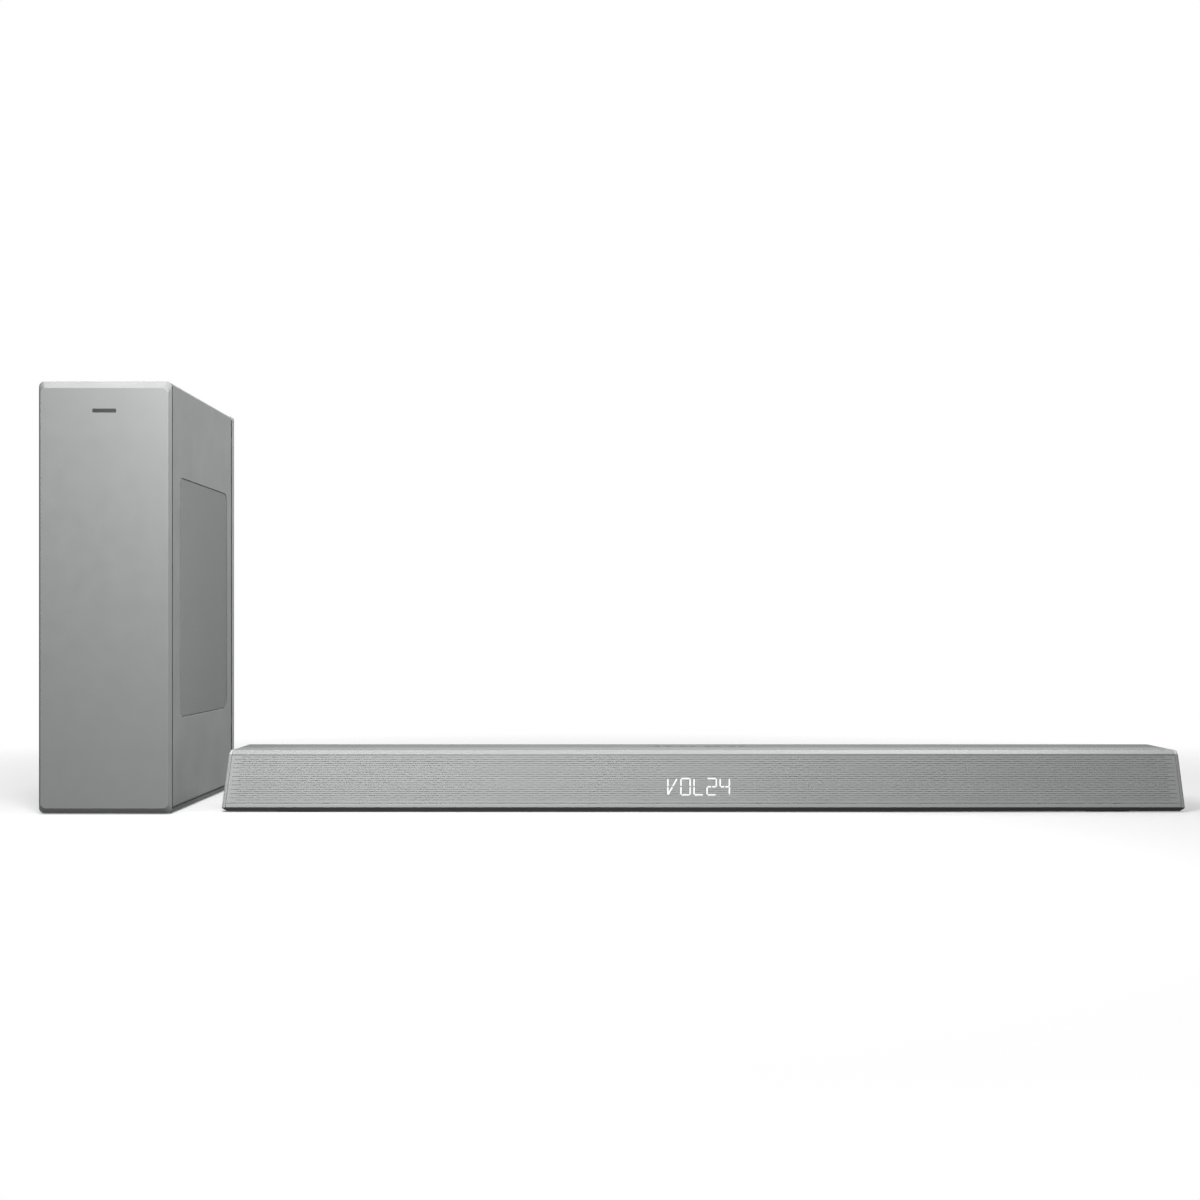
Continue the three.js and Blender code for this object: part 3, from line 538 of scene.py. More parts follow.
# The subwoofer's base plate, a lighter grey than the bar's black base so that its edge in shadow
# under the side looks less dark: painted light.
LIGHTENED_UNDERSIDE = grained("subwoofer base plastic lightened as painted light", grey(0.2), 0.6, 0.6 * MM, 0.03 * MM)
MASK = grained("solder mask", (0.012, 0.09, 0.045), 0.4, 1.5 * MM, 0.03 * MM, contrast=0.3)
BRASS = brushed("insert brass", (0.6, 0.45, 0.2), 0.35, 1.0)
GOLD = brushed("contact gold", (0.83, 0.6, 0.25), 0.3, 1.0)
SMOKED = grained("smoked lens", (0.03, 0.031, 0.033), 0.12, 2 * MM, 0.004 * MM)
POWDER = grained("amplifier plate coat", (0.034, 0.035, 0.036), 0.55, 0.45 * MM, 0.05 * MM)
SCREW = brushed("blackened screw", (0.06, 0.06, 0.065), 0.35, 0.9)
WHITE_PLASTIC = grained("socket tongue", (0.6, 0.6, 0.58), 0.5, 0.4 * MM, 0.01 * MM)
GLOW = glowing("display light", (0.93, 0.95, 0.94), 0.3)


# ---------------------------------------------------------------- soundbar: front grille

GRILLE_PITCH = (12.0 * MM, 2.0 * MM)
GRILLE_SLOT = (5.8 * MM, 0.12 * MM, 0.19 * MM)  # half its length, half height at ends and middle
GRILLE_ROWS = 21
GRILLE_COLUMNS = 73
GRILLE_BORDER = 2.5 * MM         # plain metal between the slots and each end
GRILLE_FIRST_ROW = 10.6 * MM     # height where the lowest row starts
GRILLE_SHEET = 0.6 * MM          # the slotted sheet's thickness
GRILLE_JOIN = 53.0 * MM          # height where the slotted front meets the folded top
SHEET_EASE = 0.3 * MM            # radius of the folded sheet's other edges
GROOVE_DEPTH = 0.7 * MM          # of the narrow groove above the lower trim
GROOVE_LAP = 0.4 * MM            # how far its strip reaches behind the pieces beside it
BACKING_GAP = 0.1 * MM           # between the slotted sheet and the cloth behind it
BACKING_INSET = 5 * MM           # from the cloth's ends to the grille's, at the join
BACKING_BOTTOM = 9.4 * MM


# One slot of a pierced sheet and the metal round it, which has six corners.
def slotted_cell(points, corners):
    x = (points[corners[1]][0] + points[corners[4]][0]) / 2
    z = (points[corners[1]][1] + points[corners[4]][1]) / 2
    length, end, centre = GRILLE_SLOT
    inner = [len(points) + i for i in range(6)]
    points.extend([
        (x - length, z - end), (x, z - centre), (x + length, z - end),
        (x + length, z + end), (x, z + centre), (x - length, z + end),
    ])
    return [
        [corners[i], corners[(i + 1) % 6], inner[(i + 1) % 6], inner[i]] for i in range(6)
    ]


# Rows of long fine slots laid like bricks. The rows follow the leaning ends, so each is a
# little shorter than the one below it.
def grille_front():
    row_lines = [GRILLE_FIRST_ROW + row * GRILLE_PITCH[1] for row in range(GRILLE_ROWS + 1)]
    heights = [GRILLE_BOTTOM, *row_lines, GRILLE_JOIN]
    last = 2 * GRILLE_COLUMNS
    points, faces, grid = [], [], {}
    for line, z in enumerate(heights):
        edge = half_width(z) - PIECE_INSET
        places = [(half / GRILLE_COLUMNS - 1) * (edge - GRILLE_BORDER)
                  for half in range(last + 1)]
        for half, x in enumerate([-edge, *places, edge], -1):
            grid[half, line] = len(points)
            points.append((BAR_X + x, z))
    for line in range(len(heights) - 1):
        slotted = 1 <= line <= GRILLE_ROWS
        shift = line % 2
        half = -1
        while half <= last:
            wide = slotted and half >= shift and half + 2 <= last
            step = 2 if wide else 1
            low = [grid[half + i, line] for i in range(step + 1)]
            high = [grid[half + i, line + 1] for i in range(step, -1, -1)]
            faces.extend(slotted_cell(points, low + high) if wide else [low + high])
            half += step
    return plate(points, faces, on_y, BAR_FRONT, BAR_FRONT + GRILLE_SHEET)


# A solid that runs the bar's whole length with one (y, z) section and leaning ends.
def full_length(section):
    return loft([
        [Vector((BAR_X + side * (half_width(z) - PIECE_INSET), y, z)) for y, z in section]
        for side in (-1, 1)
    ])


def grille_fold():
    inner = SHEET * 0.41         # keeps the sheet's thickness round the bevel
    front = BAR_FRONT
    return full_length(eased([
        (front, GRILLE_JOIN), (front, BAR_TOP - BEVEL), (front + BEVEL, BAR_TOP),
        (GRILLE_BACK, BAR_TOP), (GRILLE_BACK, BAR_TOP - SHEET),
        (front + BEVEL + inner, BAR_TOP - SHEET), (front + SHEET, BAR_TOP - BEVEL - inner),
        (front + SHEET, GRILLE_JOIN),
    ], [0, BEVEL_EASE, BEVEL_EASE, SHEET_EASE, 0, SHEET_EASE, SHEET_EASE, 0]))


def thin_sheet(outline, place, low, high):
    return plate(outline, [list(range(len(outline)))], place, low, high)


# A narrow strip set back in the groove between the grille and the lower trim.
def groove_strip():
    front, back = BAR_FRONT + GROOVE_DEPTH, BAR_FRONT + GROOVE_DEPTH + SHEET
    low, high = TRIM_TOP - GROOVE_LAP, GRILLE_BOTTOM + GROOVE_LAP
    return full_length([(front, low), (back, low), (back, high), (front, high)])


made("front_grille_face", grille_front(), GRILLE, "soundbar", ["front_grille"])
fold = made("front_grille_fold", grille_fold(), SHADED_FOLD, "soundbar")
made("front_groove_strip", groove_strip(), TRIM, "soundbar")

backing_width = 2 * (half_width(GRILLE_JOIN) - BACKING_INSET)
backing_height = GRILLE_JOIN - BACKING_BOTTOM
backing = made(
    "front_grille_cloth",
    thin_sheet(rect(backing_width, backing_height, BAR_X, (GRILLE_JOIN + BACKING_BOTTOM) / 2),
               on_y, BAR_FRONT + GRILLE_SHEET + BACKING_GAP, BAR_FRONT + SHEET),
    BACKING, "soundbar")


# ---------------------------------------------------------------- soundbar: display

SEGMENT_WIDTH = 1.35 * MM
SEGMENT_GAP = 0.22 * MM
LETTER = (8.6 * MM, 15.2 * MM)   # between the middles of the outer segments
LETTER_PITCH = 12.2 * MM
READOUT_X = -4.5 * MM            # the readout's middle, from the bar's
READOUT_RISE = 0.06 * MM
READOUT_ROOT = 0.3 * MM
READOUT = "VOL24"
SEGMENT_ENDS = {                 # in half widths and half heights of a letter
    "a": (-1, 1, 1, 1), "b": (1, 1, 1, 0), "c": (1, 0, 1, -1), "d": (-1, -1, 1, -1),
    "e": (-1, 0, -1, -1), "f": (-1, 1, -1, 0), "g": (-1, 0, 0, 0), "h": (0, 0, 1, 0),
    "j": (0, 0, 1, 1), "k": (-1, -1, 0, 0),
}
LIT = {"V": "efkj", "O": "abcdef", "L": "def", "2": "abghed", "4": "fghbc"}


def segment(x0, y0, x1, y1):
    start, end = Vector((x0, y0)), Vector((x1, y1))
    along = (end - start).normalized()
    across = Vector((-along.y, along.x)) * SEGMENT_WIDTH / 2
    start, end = start + along * SEGMENT_GAP, end - along * SEGMENT_GAP
    tip = along * SEGMENT_WIDTH / 2
    return [start, start + tip - across, end - tip - across, end, end - tip + across,
            start + tip + across]


def readout():
    shapes = []
    for i, letter in enumerate(READOUT):
        x = BAR_X + READOUT_X + (i - (len(READOUT) - 1) / 2) * LETTER_PITCH
        for name in LIT[letter]:
            x0, y0, x1, y1 = SEGMENT_ENDS[name]
            outline = segment(x + x0 * LETTER[0] / 2, DISPLAY_Z + y0 * LETTER[1] / 2,
                              x + x1 * LETTER[0] / 2, DISPLAY_Z + y1 * LETTER[1] / 2)
            shapes.append(prism(outline, on_y, BAR_FRONT - READOUT_RISE,
                                BAR_FRONT + READOUT_ROOT))
    return merged(*shapes)


made("display_readout", readout(), GLOW, "soundbar")
dressed(SMOKED, "display_lens", "infrared_receiver")
dressed(BLACK, "display_module")


# ---------------------------------------------------------------- soundbar: casing

# A screw head's sizes are shares of its radius, and its depths are shares of its height.
SCREW_FACE = 0.86                # the flat face inside the rounded rim
SCREW_SHOULDER = 0.7
CROSS_TIP = 0.52
CROSS_ROOT = 0.15                # half the width of an arm of the cross
CROSS_CORNER = 1.25              # the corners between the arms, in roots
CROSS_TAPER = 0.6                # the cross's floor, as a share of its mouth
CROSS_FLOOR = 0.3
RIM_POINTS = 24                  # round a screw head
CROSS_POINTS = 12                # round its cross recess
RIM_START = -15                  # degrees, where the rim's first point faces the cross's
SCREW_SEAT = 0.3 * MM            # how far a screw head is let into its surface
SMALL_SCREW = 2.7 * MM           # radii of screw heads
LARGE_SCREW = 3.0 * MM
HOUSING_SCREW_X = (-425, -225, 225, 425)             # in millimetres
HOUSING_SCREW_Z = (14, 46)
BASE_SCREW_X = (-430, -290, -120, 120, 290, 430)
BASE_SCREW_Y = (-34, 34)
DRIVER_PARTS = {"frame": STEEL, "magnet": FERRITE, "cone": PAPER, "surround": SURROUND}


def end_cap(side):
    rings = []
    for depth, edge in [(CAP_THICKNESS, 0.0), *arc(CAP_EDGE, CAP_EDGE, CAP_EDGE, 270, 180, 6)]:
        front, back, top = BAR_FRONT + edge, BAR_BACK - edge, BAR_TOP - edge
        outline = eased(
            [(front, TRIM_BOTTOM), (back, TRIM_BOTTOM), (back, top), (front + BEVEL, top),
             (front, top - BEVEL)],
            [0, 0, CORNER - edge / 2, BEVEL_EASE, BEVEL_EASE])
        rings.append([
            Vector((BAR_X + side * (half_width(z) - depth), y, z)) for y, z in outline
        ])
    return loft(rings)


# A screw head with a cross recess. It stands out by its height along +w.
def screw_head(place, radius, height):
    tip, root = radius * CROSS_TIP, radius * CROSS_ROOT
    corner = root * CROSS_CORNER
    cross = []
    for quarter in range(4):
        turn = math.radians(90 * quarter)
        for x, y in ((tip, -root), (tip, root), (corner, corner)):
            cross.append((x * math.cos(turn) - y * math.sin(turn),
                          x * math.sin(turn) + y * math.cos(turn)))
    rim, edge = [arc(0, 0, size, RIM_START, RIM_START + 360, RIM_POINTS)[:-1]
                 for size in (radius * SCREW_FACE, radius)]
    points = [place(x, y, height) for x, y in rim + cross]
    points += [place(x * CROSS_TAPER, y * CROSS_TAPER, height * CROSS_FLOOR) for x, y in cross]
    points += [place(x, y, w) for w in (height * SCREW_SHOULDER, -SCREW_SEAT) for x, y in edge]
    mouth = RIM_POINTS
    floor = mouth + CROSS_POINTS
    shoulder = floor + CROSS_POINTS
    seat = shoulder + RIM_POINTS
    faces = [[floor + i for i in range(CROSS_POINTS)], [seat + i for i in range(RIM_POINTS)]]
    for i in range(CROSS_POINTS):
        j = (i + 1) % CROSS_POINTS
        faces.append([2 * i, 2 * i + 1, (2 * i + 2) % RIM_POINTS, mouth + j, mouth + i])
        faces.append([mouth + i, mouth + j, floor + j, floor + i])
    for i in range(RIM_POINTS):
        j = (i + 1) % RIM_POINTS
        faces.append([i, j, shoulder + j, shoulder + i])
        faces.append([shoulder + i, shoulder + j, seat + j, seat + i])
    return points, faces


def screws(name, places, radius, height, body):
    made(name, merged(*[screw_head(place, radius, height) for place in places]),
         SCREW, body)


def facing_back(x, y, z):
    return lambda u, v, w: Vector((x - u, y + w, z + v))


def facing_down(x, y, z):
    return lambda u, v, w: Vector((x + u, y - v, z - w))


def dressed_driver(name):
    for part, material in DRIVER_PARTS.items():
        dressed(material, f"{name}_{part}")


for side, sign in (("left", -1), ("right", 1)):
    stand_in(f"end_cap_{side}", end_cap(sign), CAP)
    refined(f"wall_insert_{side}", BRASS, 0.25 * MM)
refined("lower_trim", TRIM, 0.35 * MM, 3)
refined("rear_housing", HOUSING, 0.35 * MM)
refined("base_plate", BASE)
for number in range(1, 5):
    refined(f"bar_foot_{number}", RUBBER, 0.45 * MM, 3)

screws("housing_screws",
       [facing_back(BAR_X + x * MM, BAR_BACK, z * MM)
        for x in HOUSING_SCREW_X for z in HOUSING_SCREW_Z],
       SMALL_SCREW, 0.8 * MM, "soundbar")
screws("base_screws",
       [facing_down(BAR_X + x * MM, BASE_CENTRE.y + y * MM, BASE_LOW.z)
        for x in BASE_SCREW_X for y in BASE_SCREW_Y],
       SMALL_SCREW, 0.5 * MM, "soundbar")

dressed_driver("driver_left")
dressed_driver("driver_right")
dressed(BLACK, "tweeter_left", "tweeter_right")
dressed(BASE, "front_baffle")
dressed(MASK, "button_board", "main_board", "power_board", "sub_amp_board")
dressed(SINK, "heat_sink")


# ---------------------------------------------------------------- soundbar: buttons

BUTTON_SIZE = (16 * MM, 9 * MM)
BUTTON_EDGE = 0.7 * MM
BUTTON_SHELF = 3.7 * MM          # from a button's top down to its captive flange
BUTTON_FLANGE = 1.2 * MM         # thickness of that flange
BUTTON_LAP = 0.6 * MM            # how far the cap reaches down into it
STEM_RADIUS = 2 * MM
STEM_TOP = 1.0 * MM              # from the flange's top down to the stem's
SYMBOL_RISE = 0.08 * MM
SYMBOL_ROOT = 0.1 * MM
LINE = 0.55 * MM                 # width of a symbol's lines
CURVE_STEPS = 28


def button_cap(node):
    low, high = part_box(node)
    x, y = middle(node).xy
    width, depth = BUTTON_SIZE

    def outline(inset):
        return rounded_rect(width - 2 * inset, depth - 2 * inset, depth / 2 - inset, x, y, 12)

    flange = rounded_rect(high.x - low.x, high.y - low.y, (high.y - low.y) / 2, x, y, 12)
    shelf = high.z - BUTTON_SHELF
    return merged(
        domed(outline, on_z, shelf - BUTTON_LAP, high.z, BUTTON_EDGE),
        prism(flange, on_z, shelf - BUTTON_FLANGE, shelf),
        prism(circle(STEM_RADIUS, 24, x, y), on_z, low.z, shelf - STEM_TOP))


# A line of a symbol, through points in millimetres from the button's middle.
def stroke(*points):
    outlines = []
    for start, end in zip(points, points[1:]):
        start, end = Vector(start) * MM, Vector(end) * MM
        along = (end - start).normalized()
        across = Vector((-along.y, along.x)) * LINE / 2
        outlines.append([start - across, end - across, end + across, start + across])
    return outlines


def curved_stroke(radius, start, end):
    outer = arc(0, 0, radius + LINE / 2, start, end, CURVE_STEPS)
    inner = arc(0, 0, radius - LINE / 2, start, end, CURVE_STEPS)
    return [[outer[i], outer[i + 1], inner[i + 1], inner[i]] for i in range(CURVE_STEPS)]


ARROW_HEAD = [[(0.7 * MM, -1.3 * MM), (2.5 * MM, 0), (0.7 * MM, 1.3 * MM)]]
SYMBOLS = {
    "power": curved_stroke(2.1 * MM, 125, 415) + stroke((0, 0.3), (0, 2.9)),
    "source": stroke((-2.8, 0), (0.7, 0)) + ARROW_HEAD + stroke((3.1, -1.9), (3.1, 1.9)),
    "volume_down": stroke((-2, 0), (2, 0)),
    "volume_up": stroke((-2, 0), (2, 0)) + stroke((0, -2), (0, -0.27)) + stroke((0, 0.27), (0, 2)),
}
for name, outlines in SYMBOLS.items():
    node = f"button_{name}"
    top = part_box(node)[1].z
    stand_in(node, button_cap(node), BUTTON)
    place = moved(on_z, *middle(node).xy)
    made(f"{node}_symbol",
         merged(*[prism(outline, place, top - SYMBOL_ROOT, top + SYMBOL_RISE)
                  for outline in outlines]),
         SYMBOL, BODY_OF[node])


# ---------------------------------------------------------------- connectors

# A socket's shapes are drawn about its own axis, its face at w = 0 and its inside at -w.
SOCKET_DEPTH = 10 * MM
SOCKET_FLOOR = 9.2 * MM          # the front of the wall that closes it
TONGUE_ROOT = 9.4 * MM
CONTACT_ROOT = 8 * MM
CONTACT_START = 0.5 * MM         # from the tongue's front to its contacts
JACK_RADIUS = 1.8 * MM
JACK_REACH = 4 * MM              # half the width of the block round the jack's hole
JACK_BACK = 7.8 * MM             # width of the plate that closes the block
JACK_BACK_FRONT = 9.1 * MM       # depth of that plate's front
# The jack's collar as (radius, place along the axis), in millimetres.
JACK_COLLAR = [(1.75, -9), (3.1, -9), (3.1, 0.15), (2.85, 0.4), (2.0, 0.4), (1.75, 0.15)]
INLET_PIN_X = 4.3 * MM           # from the inlet's middle to each pin's
INLET_PIN_REACH = 1.3 * MM
INLET_PIN_FACE = 20 * MM * MM    # a pin's faces are smaller, and the recess's floor is larger


def contact_row(place, count, pitch, size, z, front, back):
    return merged(*[
        prism(rect(size[0], size[1], (i - (count - 1) / 2) * pitch, z), place, back, front)
        for i in range(count)
    ])


def tongue(node, material, width, thickness, z, front, count, pitch, contact):
    place = axis_of(node, SOCKET_FACE)
    made(f"{node}_tongue",
         prism(rect(width, thickness, 0, z), place, -TONGUE_ROOT, front),
         material, "soundbar")
    made(f"{node}_contacts",
         contact_row(place, count, pitch, contact, z - thickness / 2,
                     front - CONTACT_START, -CONTACT_ROOT),
         GOLD, "soundbar")


def shell(node, outer, inner):
    place = axis_of(node, SOCKET_FACE)
    stand_in(node, merged(ring_plate(outer, inner, place, -SOCKET_DEPTH, 0),
                          prism(outer, place, -SOCKET_DEPTH, -SOCKET_FLOOR)), STEEL)


def keyed(width, height, cut):
    x, y = width / 2, height / 2
    return eased([(-x + cut, -y), (x - cut, -y), (x, -y + cut), (x, y), (-x, y), (-x, -y + cut)],
                 [0.3 * MM] * 6)


# The block's outline is the hole's, pushed out to a square.
def aux_socket(node):
    place = axis_of(node, SOCKET_FACE)
    hole = arc(0, 0, JACK_RADIUS, 225, 585, 32)[:-1]
    block = [tuple(max(-JACK_REACH, min(JACK_REACH, 4 * c)) for c in point) for point in hole]
    stand_in(node, merged(ring_plate(block, hole, place, -SOCKET_FLOOR, 0),
                          prism(rect(JACK_BACK, JACK_BACK), place,
                                -SOCKET_DEPTH, -JACK_BACK_FRONT)), BLACK)
    made(f"{node}_collar",
         turned([(radius * MM, w * MM) for radius, w in JACK_COLLAR], place, 48),
         GOLD, "soundbar")


# The pins' faces are the small ones round the two pin axes.
def mains_inlet(node):
    piece = refined(node, BLACK, 0)
    piece.data.materials.append(STEEL)
    centre = middle(node)
    for face in piece.data.polygons:
        from_pin = math.hypot(abs(face.center.x - centre.x) - INLET_PIN_X,
                              face.center.z - centre.z)
        if from_pin < INLET_PIN_REACH and face.area < INLET_PIN_FACE:
            face.material_index = 1


refined("connector_tray", BLACK, 0.25 * MM)
for node in ("hdmi_socket_in", "hdmi_socket_out"):
    shell(node, keyed(15.6 * MM, 6.4 * MM, 1.8 * MM), keyed(14.4 * MM, 5.2 * MM, 1.5 * MM))
    tongue(node, BLACK, 11.4 * MM, 1.4 * MM, 0.6 * MM, -1.2 * MM,
           10, 1.0 * MM, (0.45 * MM, 0.2 * MM))
shell("usb_socket", rounded_rect(14.6 * MM, 7.2 * MM, 0.5 * MM),
      rounded_rect(13.2 * MM, 5.8 * MM, 0.35 * MM))
tongue("usb_socket", WHITE_PLASTIC, 11.1 * MM, 1.8 * MM, 1.1 * MM, -0.8 * MM,
       4, 2.3 * MM, (1.0 * MM, 0.2 * MM))
aux_socket("aux_socket")
mains_inlet("mains_inlet")
mains_inlet("sub_mains_inlet")


# ---------------------------------------------------------------- subwoofer

PANEL_CORNER = 5 * MM
PANEL_RIM = 4.4 * MM             # depth of the bevels round the front panel's face
PANEL_EDGE = 0.5 * MM            # straight edge behind them
PANEL_STEP = 3 * MM              # how far the panel's back is set in, for the shadow gap
PANEL_GAP = 2.4 * MM             # from the panel's back to the cabinet's front
REAR_GAP = 5 * MM                # the same shadow gap before the rear panel
# Inset and width of the dark rings of painted shade in the shadow gaps.
PAINTED_SHADE_RING_INSET = 0.4 * MM
PAINTED_SHADE_RING_WIDTH = 3 * MM
PANEL_FACE_INSET = (2.6 * MM, 6.6 * MM, 4.8 * MM)    # at the sides, top and bottom
PANEL_ROUNDING = 0.6 * MM
PANEL_SHARP = 20                 # degrees from which the panel's edges are rounded
BADGE_DOME = 0.25 * MM
BADGE_CORNER = 0.8 * MM
CLOTH_RADIUS = 10 * MM
CLOTH_EDGE = 0.9 * MM
CLOTH_SIDE = 0.1 * MM            # straight part behind that rounded edge
CLOTH_FRAME = 9 * MM             # width of the frame that the cloth is stretched over
CLOTH_FRAME_INSET = 0.2 * MM
PORT_RADIUS = 25 * MM
PORT_WALL = 3 * MM
PORT_FLARE = (6 * MM, 16 * MM)   # outwards, and along the tube
PORT_LIP = 2.7 * MM
PAIR_RADIUS = 4.2 * MM
PAIR_FLANGE = 1.4 * MM
ROUNDING = 0.8 * MM              # edges of the port's flange and the pairing button
LED_DOME = ((1, 0.9), (0.9, 0.45), (0.6, 0.12))      # share of its radius, mm below its tip
SUB_FOOT_EDGE = 0.8 * MM
AMP_SCREW_X = (-41, 41)          # in millimetres
AMP_SCREW_Z = (-57, -19, 19, 57)


def panel_outline(node, side=0.0, top=0.0, bottom=0.0):
    low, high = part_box(node)
    return rounded_rect(high.x - low.x - 2 * side, high.z - low.z - top - bottom, PANEL_CORNER,
                        SUB_X, (low.z + bottom + high.z - top) / 2)


def front_panel():
    low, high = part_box("sub_front_panel")

    def ring(y, *insets):
        return [Vector((x, y, z)) for x, z in panel_outline("sub_front_panel", *insets)]

    stepped = low.y + PANEL_RIM + PANEL_EDGE
    step = [PANEL_STEP] * 3
    return loft([ring(low.y, *PANEL_FACE_INSET), ring(low.y + PANEL_RIM), ring(stepped),
                 ring(stepped, *step), ring(high.y, *step)])


# A dark ring in the shadow gap between the cabinet and one of its end panels: its black is painted
# shade that darkens the gap's line.
def painted_shade_ring(name, node, low, high):
    outlines = [panel_outline(node, *[inset] * 3)
                for inset in (PAINTED_SHADE_RING_INSET, PAINTED_SHADE_RING_INSET + PAINTED_SHADE_RING_WIDTH)]
    made(name, ring_plate(*outlines, on_y, low, high), RUBBER, "subwoofer")


def badge():
    low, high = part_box("sub_badge")
    centre = middle("sub_badge")

    def outline(inset):
        height = high.z - low.z - 2 * inset
        return rounded_rect(high.x - low.x - 2 * inset, height, BADGE_CORNER - inset,
                            centre.x, centre.z)

    return domed(outline, on_y, high.y, low.y, BADGE_DOME)


def side_grille():
    node = "sub_side_grille"
    low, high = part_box(node)
    centre = middle(node)
    width, height = high.y - low.y, high.z - low.z

    def outline(inset):
        return rounded_rect(width - 2 * inset, height - 2 * inset, CLOTH_RADIUS - inset,
                            centre.y, centre.z, 12)

    seat = high.x - CLOTH_EDGE - CLOTH_SIDE
    cloth = stand_in(node, domed(outline, on_x, seat, high.x, CLOTH_EDGE), CLOTH, "cloth")
    border = ring_plate(outline(CLOTH_FRAME_INSET), outline(CLOTH_FRAME), on_x, low.x, seat)
    frame_piece = made("side_grille_frame", border, BLACK, "subwoofer")


def port_tube():
    low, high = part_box("port_tube")
    flange, outside = (high.x - low.x) / 2, PORT_RADIUS + PORT_WALL
    flare, length = PORT_FLARE
    profile = [(PORT_RADIUS, low.y), (PORT_RADIUS, SUB_BACK - length)]
    profile += [(PORT_RADIUS + flare * (1 - math.cos(math.radians(a))),
                 SUB_BACK - length + length * math.sin(math.radians(a)))
                for a in range(10, 91, 10)]
    profile += [(flange - ROUNDING, SUB_BACK), (flange - 0.2 * MM, SUB_BACK - 0.25 * MM),
                (flange, SUB_BACK - ROUNDING), (flange, SUB_BACK - PORT_LIP),
                (outside, SUB_BACK - PORT_LIP), (outside, low.y)]
    return turned(profile, axis_of("port_tube"), 96)


def pair_button():
    low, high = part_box("sub_pair_button")
    flange = (high.x - low.x) / 2
    profile = [(0, low.y), (flange, low.y), (flange, low.y + PAIR_FLANGE),
               (PAIR_RADIUS, low.y + PAIR_FLANGE), (PAIR_RADIUS, high.y - ROUNDING),
               (PAIR_RADIUS - 0.25 * MM, high.y - 0.25 * MM), (PAIR_RADIUS - ROUNDING, high.y),
               (0, high.y)]
    return turned(profile, axis_of("sub_pair_button"), 48)


def status_led():
    low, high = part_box("sub_status_led")
    radius = (high.x - low.x) / 2
    dome = [(radius * share, high.y - drop * MM) for share, drop in LED_DOME]
    return turned([(0, low.y), (radius, low.y), *dome, (0, high.y)],
                  axis_of("sub_status_led"), 32)


def round_foot(node):
    low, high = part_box(node)
    radius = (high.x - low.x) / 2
    edge = SUB_FOOT_EDGE
    profile = [(0, high.z), (radius, high.z), (radius, low.z + edge),
               (radius - 0.3 * edge, low.z + 0.3 * edge), (radius - edge, low.z), (0, low.z)]
    return turned(profile, moved(on_z, *middle(node).xy), 64)


panel = add_piece("sub_front_panel.fine", mesh_of("sub_front_panel.fine", front_panel()),
                  PANEL, "subwoofer", ["sub_front_panel"])
bevelled(panel, PANEL_ROUNDING, 3, PANEL_SHARP)
FRONT_LOW, FRONT_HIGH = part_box("sub_front_panel")
REAR_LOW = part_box("sub_rear_panel")[0]
# Dark rings in the front and rear shadow gaps: painted shade.
painted_shade_ring("front_painted_shade_ring", "sub_front_panel", FRONT_LOW.y + PANEL_RIM + PANEL_EDGE,
       FRONT_HIGH.y + PANEL_GAP)
painted_shade_ring("rear_painted_shade_ring", "sub_rear_panel", REAR_LOW.y - REAR_GAP, REAR_LOW.y)
cabinet = refined("sub_cabinet", CABINET)
refined("sub_rear_panel", CABINET)
refined("sub_amp_plate", POWDER, 0.3 * MM)
refined("sub_base_plate", LIGHTENED_UNDERSIDE)
stand_in("sub_badge", badge(), BADGE)
side_grille()
stand_in("port_tube", port_tube(), BLACK)
stand_in("sub_pair_button", pair_button(), BUTTON)
stand_in("sub_status_led", status_led(), SMOKED)
for number in range(1, 5):
    stand_in(f"sub_foot_{number}", round_foot(f"sub_foot_{number}"), RUBBER)
dressed_driver("woofer")

AMP_CENTRE = middle("sub_amp_plate")
screws("amp_plate_screws",
       [facing_back(AMP_CENTRE.x + x * MM, AMP_FACE, AMP_CENTRE.z + z * MM)
        for x in AMP_SCREW_X for z in AMP_SCREW_Z],
       LARGE_SCREW, 0.9 * MM, "subwoofer")


# ---------------------------------------------------------------- floor, light and camera

# The floor is white to look at, and throws less light back up at the set.
FLOOR_WHITE = 0.9
FLOOR_BOUNCE = 0.2
FLOOR_GLOW = 0.08
FLOOR_POINTS = 96


# A round floor, which fades into the white room from a distance outwards.
def white_floor(radius, fade_from):
    rim = [Vector((x, y, 0)) for x, y in circle(radius, FLOOR_POINTS)]
    mesh = mesh_of("floor", (rim, [list(range(FLOOR_POINTS))]))
    material, shader = new_material("floor", (FLOOR_WHITE,) * 3, 0.9, specular=0.1)
    nodes = material.node_tree.nodes
    distance = nodes.new("ShaderNodeVectorMath")
    distance.operation = "LENGTH"
    link(material, coordinates(material), distance.inputs[0])
    shown = spread(material, distance.outputs["Value"], 1, 0, fade_from, radius)
    link(material, shown, shader.inputs["Alpha"])
    seen = nodes.new("ShaderNodeLightPath").outputs["Is Camera Ray"]
    shade = nodes.new("ShaderNodeMix")
    shade.data_type = "RGBA"
    link(material, seen, shade.inputs["Factor"])
    for socket, value in (("A", FLOOR_BOUNCE), ("B", FLOOR_WHITE)):
        shade.inputs[socket].default_value = (value, value, value, 1)
    link(material, shade.outputs["Result"], shader.inputs["Base Color"])
    shader.inputs["Emission Color"].default_value = (1, 1, 1, 1)
    link(material, spread(material, seen, 0, FLOOR_GLOW, 0, 1), shader.inputs["Emission Strength"])
    floor = bpy.data.objects.new("floor", mesh)
    mesh.materials.append(material)
    bpy.context.scene.collection.objects.link(floor)
    return floor


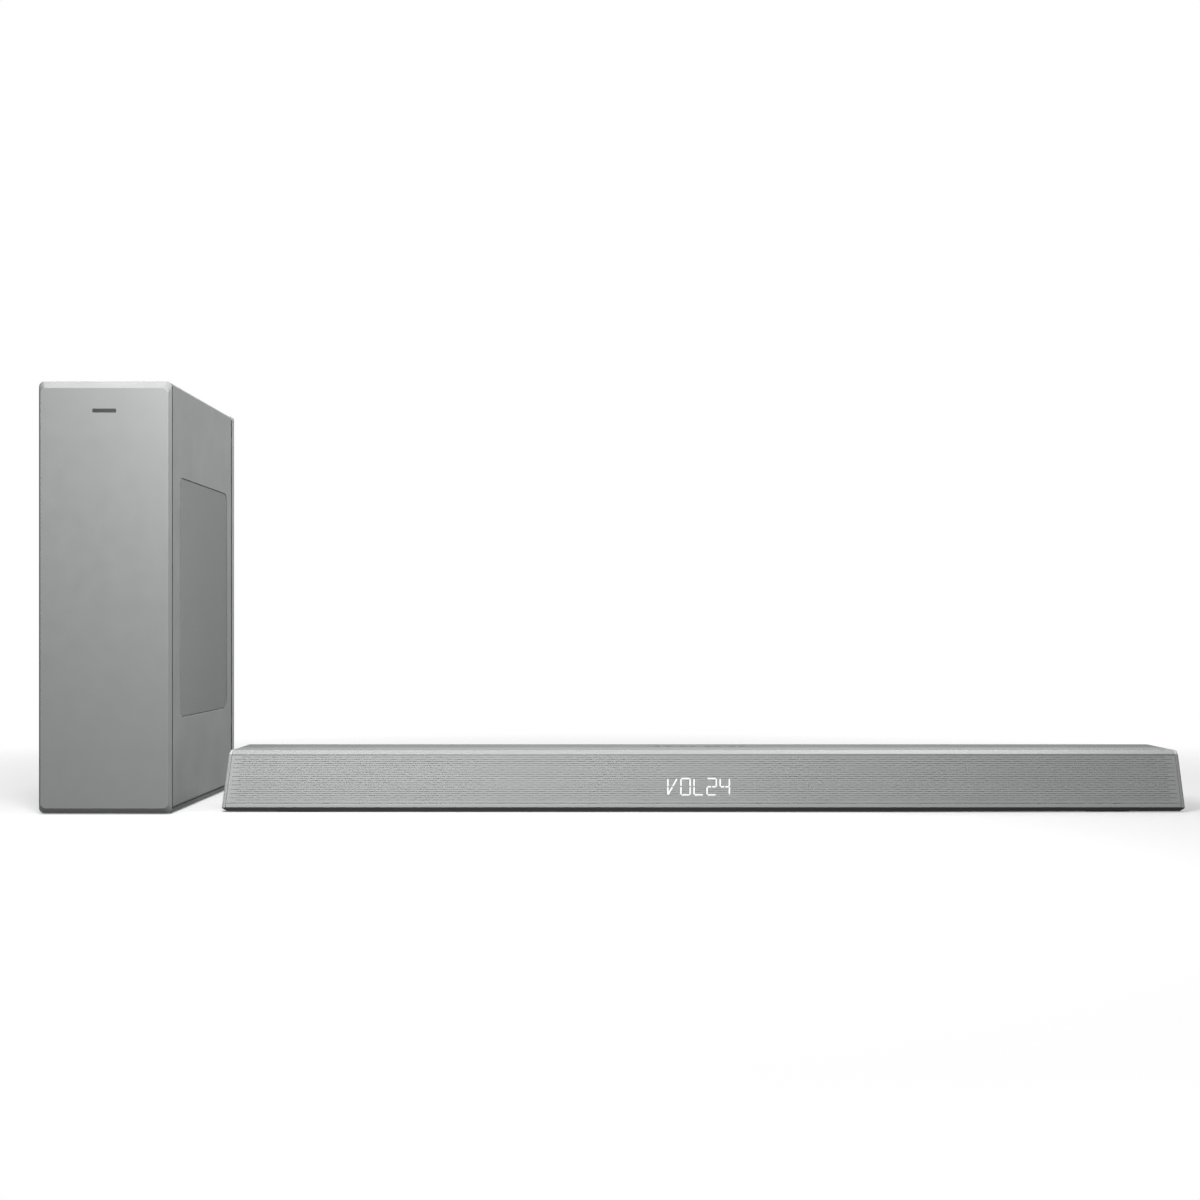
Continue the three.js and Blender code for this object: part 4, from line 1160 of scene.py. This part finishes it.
# A soft lamp, which lights everything except the pieces that are spared.
def softbox(name, location, target, size, power, spared=()):
    light = bpy.data.lights.new(name, "AREA")
    light.shape = "RECTANGLE"
    light.size, light.size_y = size
    light.energy = power
    lamp = bpy.data.objects.new(name, light)
    lamp.location = location
    aim = Vector(target) - Vector(location)
    lamp.rotation_euler = aim.to_track_quat("-Z", "Y").to_euler()
    bpy.context.scene.collection.objects.link(lamp)
    if spared:
        unlit = bpy.data.collections.new(f"{name} leaves out")
        for piece in spared:
            unlit.objects.link(piece)
        for entry in unlit.collection_objects:
            entry.light_linking.link_state = "EXCLUDE"
        lamp.light_linking.receiver_collection = unlit


# The room is white to look at, and dimmer as a source of light.
def room(brightness):
    world = bpy.data.worlds.new("room")
    bpy.context.scene.world = world
    world.use_nodes = True
    nodes, links = world.node_tree.nodes, world.node_tree.links
    nodes.clear()
    output = nodes.new("ShaderNodeOutputWorld")
    mix = nodes.new("ShaderNodeMixShader")
    seen = nodes.new("ShaderNodeLightPath")
    for socket, strength in ((1, brightness), (2, 1.0)):
        background = nodes.new("ShaderNodeBackground")
        background.inputs["Strength"].default_value = strength
        background.inputs["Color"].default_value = (1, 1, 1, 1)
        links.new(background.outputs["Background"], mix.inputs[socket])
    links.new(seen.outputs["Is Camera Ray"], mix.inputs["Fac"])
    links.new(mix.outputs["Shader"], output.inputs["Surface"])


def camera(location, lens, rise):
    data = bpy.data.cameras.new("camera")
    data.lens = lens
    data.shift_y = rise
    viewer = bpy.data.objects.new("camera", data)
    viewer.location = location
    viewer.rotation_euler = (math.radians(90), 0, 0)
    bpy.context.scene.collection.objects.link(viewer)
    bpy.context.scene.camera = viewer


bpy.context.scene.view_settings.view_transform = "Standard"
camera((-0.0141, -1.873, 0.1703), lens=56.1, rise=0.025)
room(brightness=0.2)
floor = white_floor(radius=1.2, fade_from=0.3)

# Each lamp's place and target, its size in metres and its power in watts.
softbox("key", (-0.24, -0.92, 0.72), (-0.28, -0.1, 0.1), (0.35, 0.35), 11, [cabinet])
softbox("overhead", (0.1, 0.2, 1.7), (0.1, 0.2, 0), (2.4, 2.2), 15)
softbox("top light", (-0.75, -0.45, 1.5), (-0.45, -0.15, 0.35), (0.5, 0.5), 4)
softbox("side fill", (0.45, 0.1, 1.0), (-0.4, 0.0, 0.2), (0.5, 0.5), 7, [floor])
softbox("back fill", (-0.2, 1.2, 1.5), (-0.1, 0.0, 0.1), (0.8, 0.8), 7, [floor, fold])

bpy.context.view_layer.update()
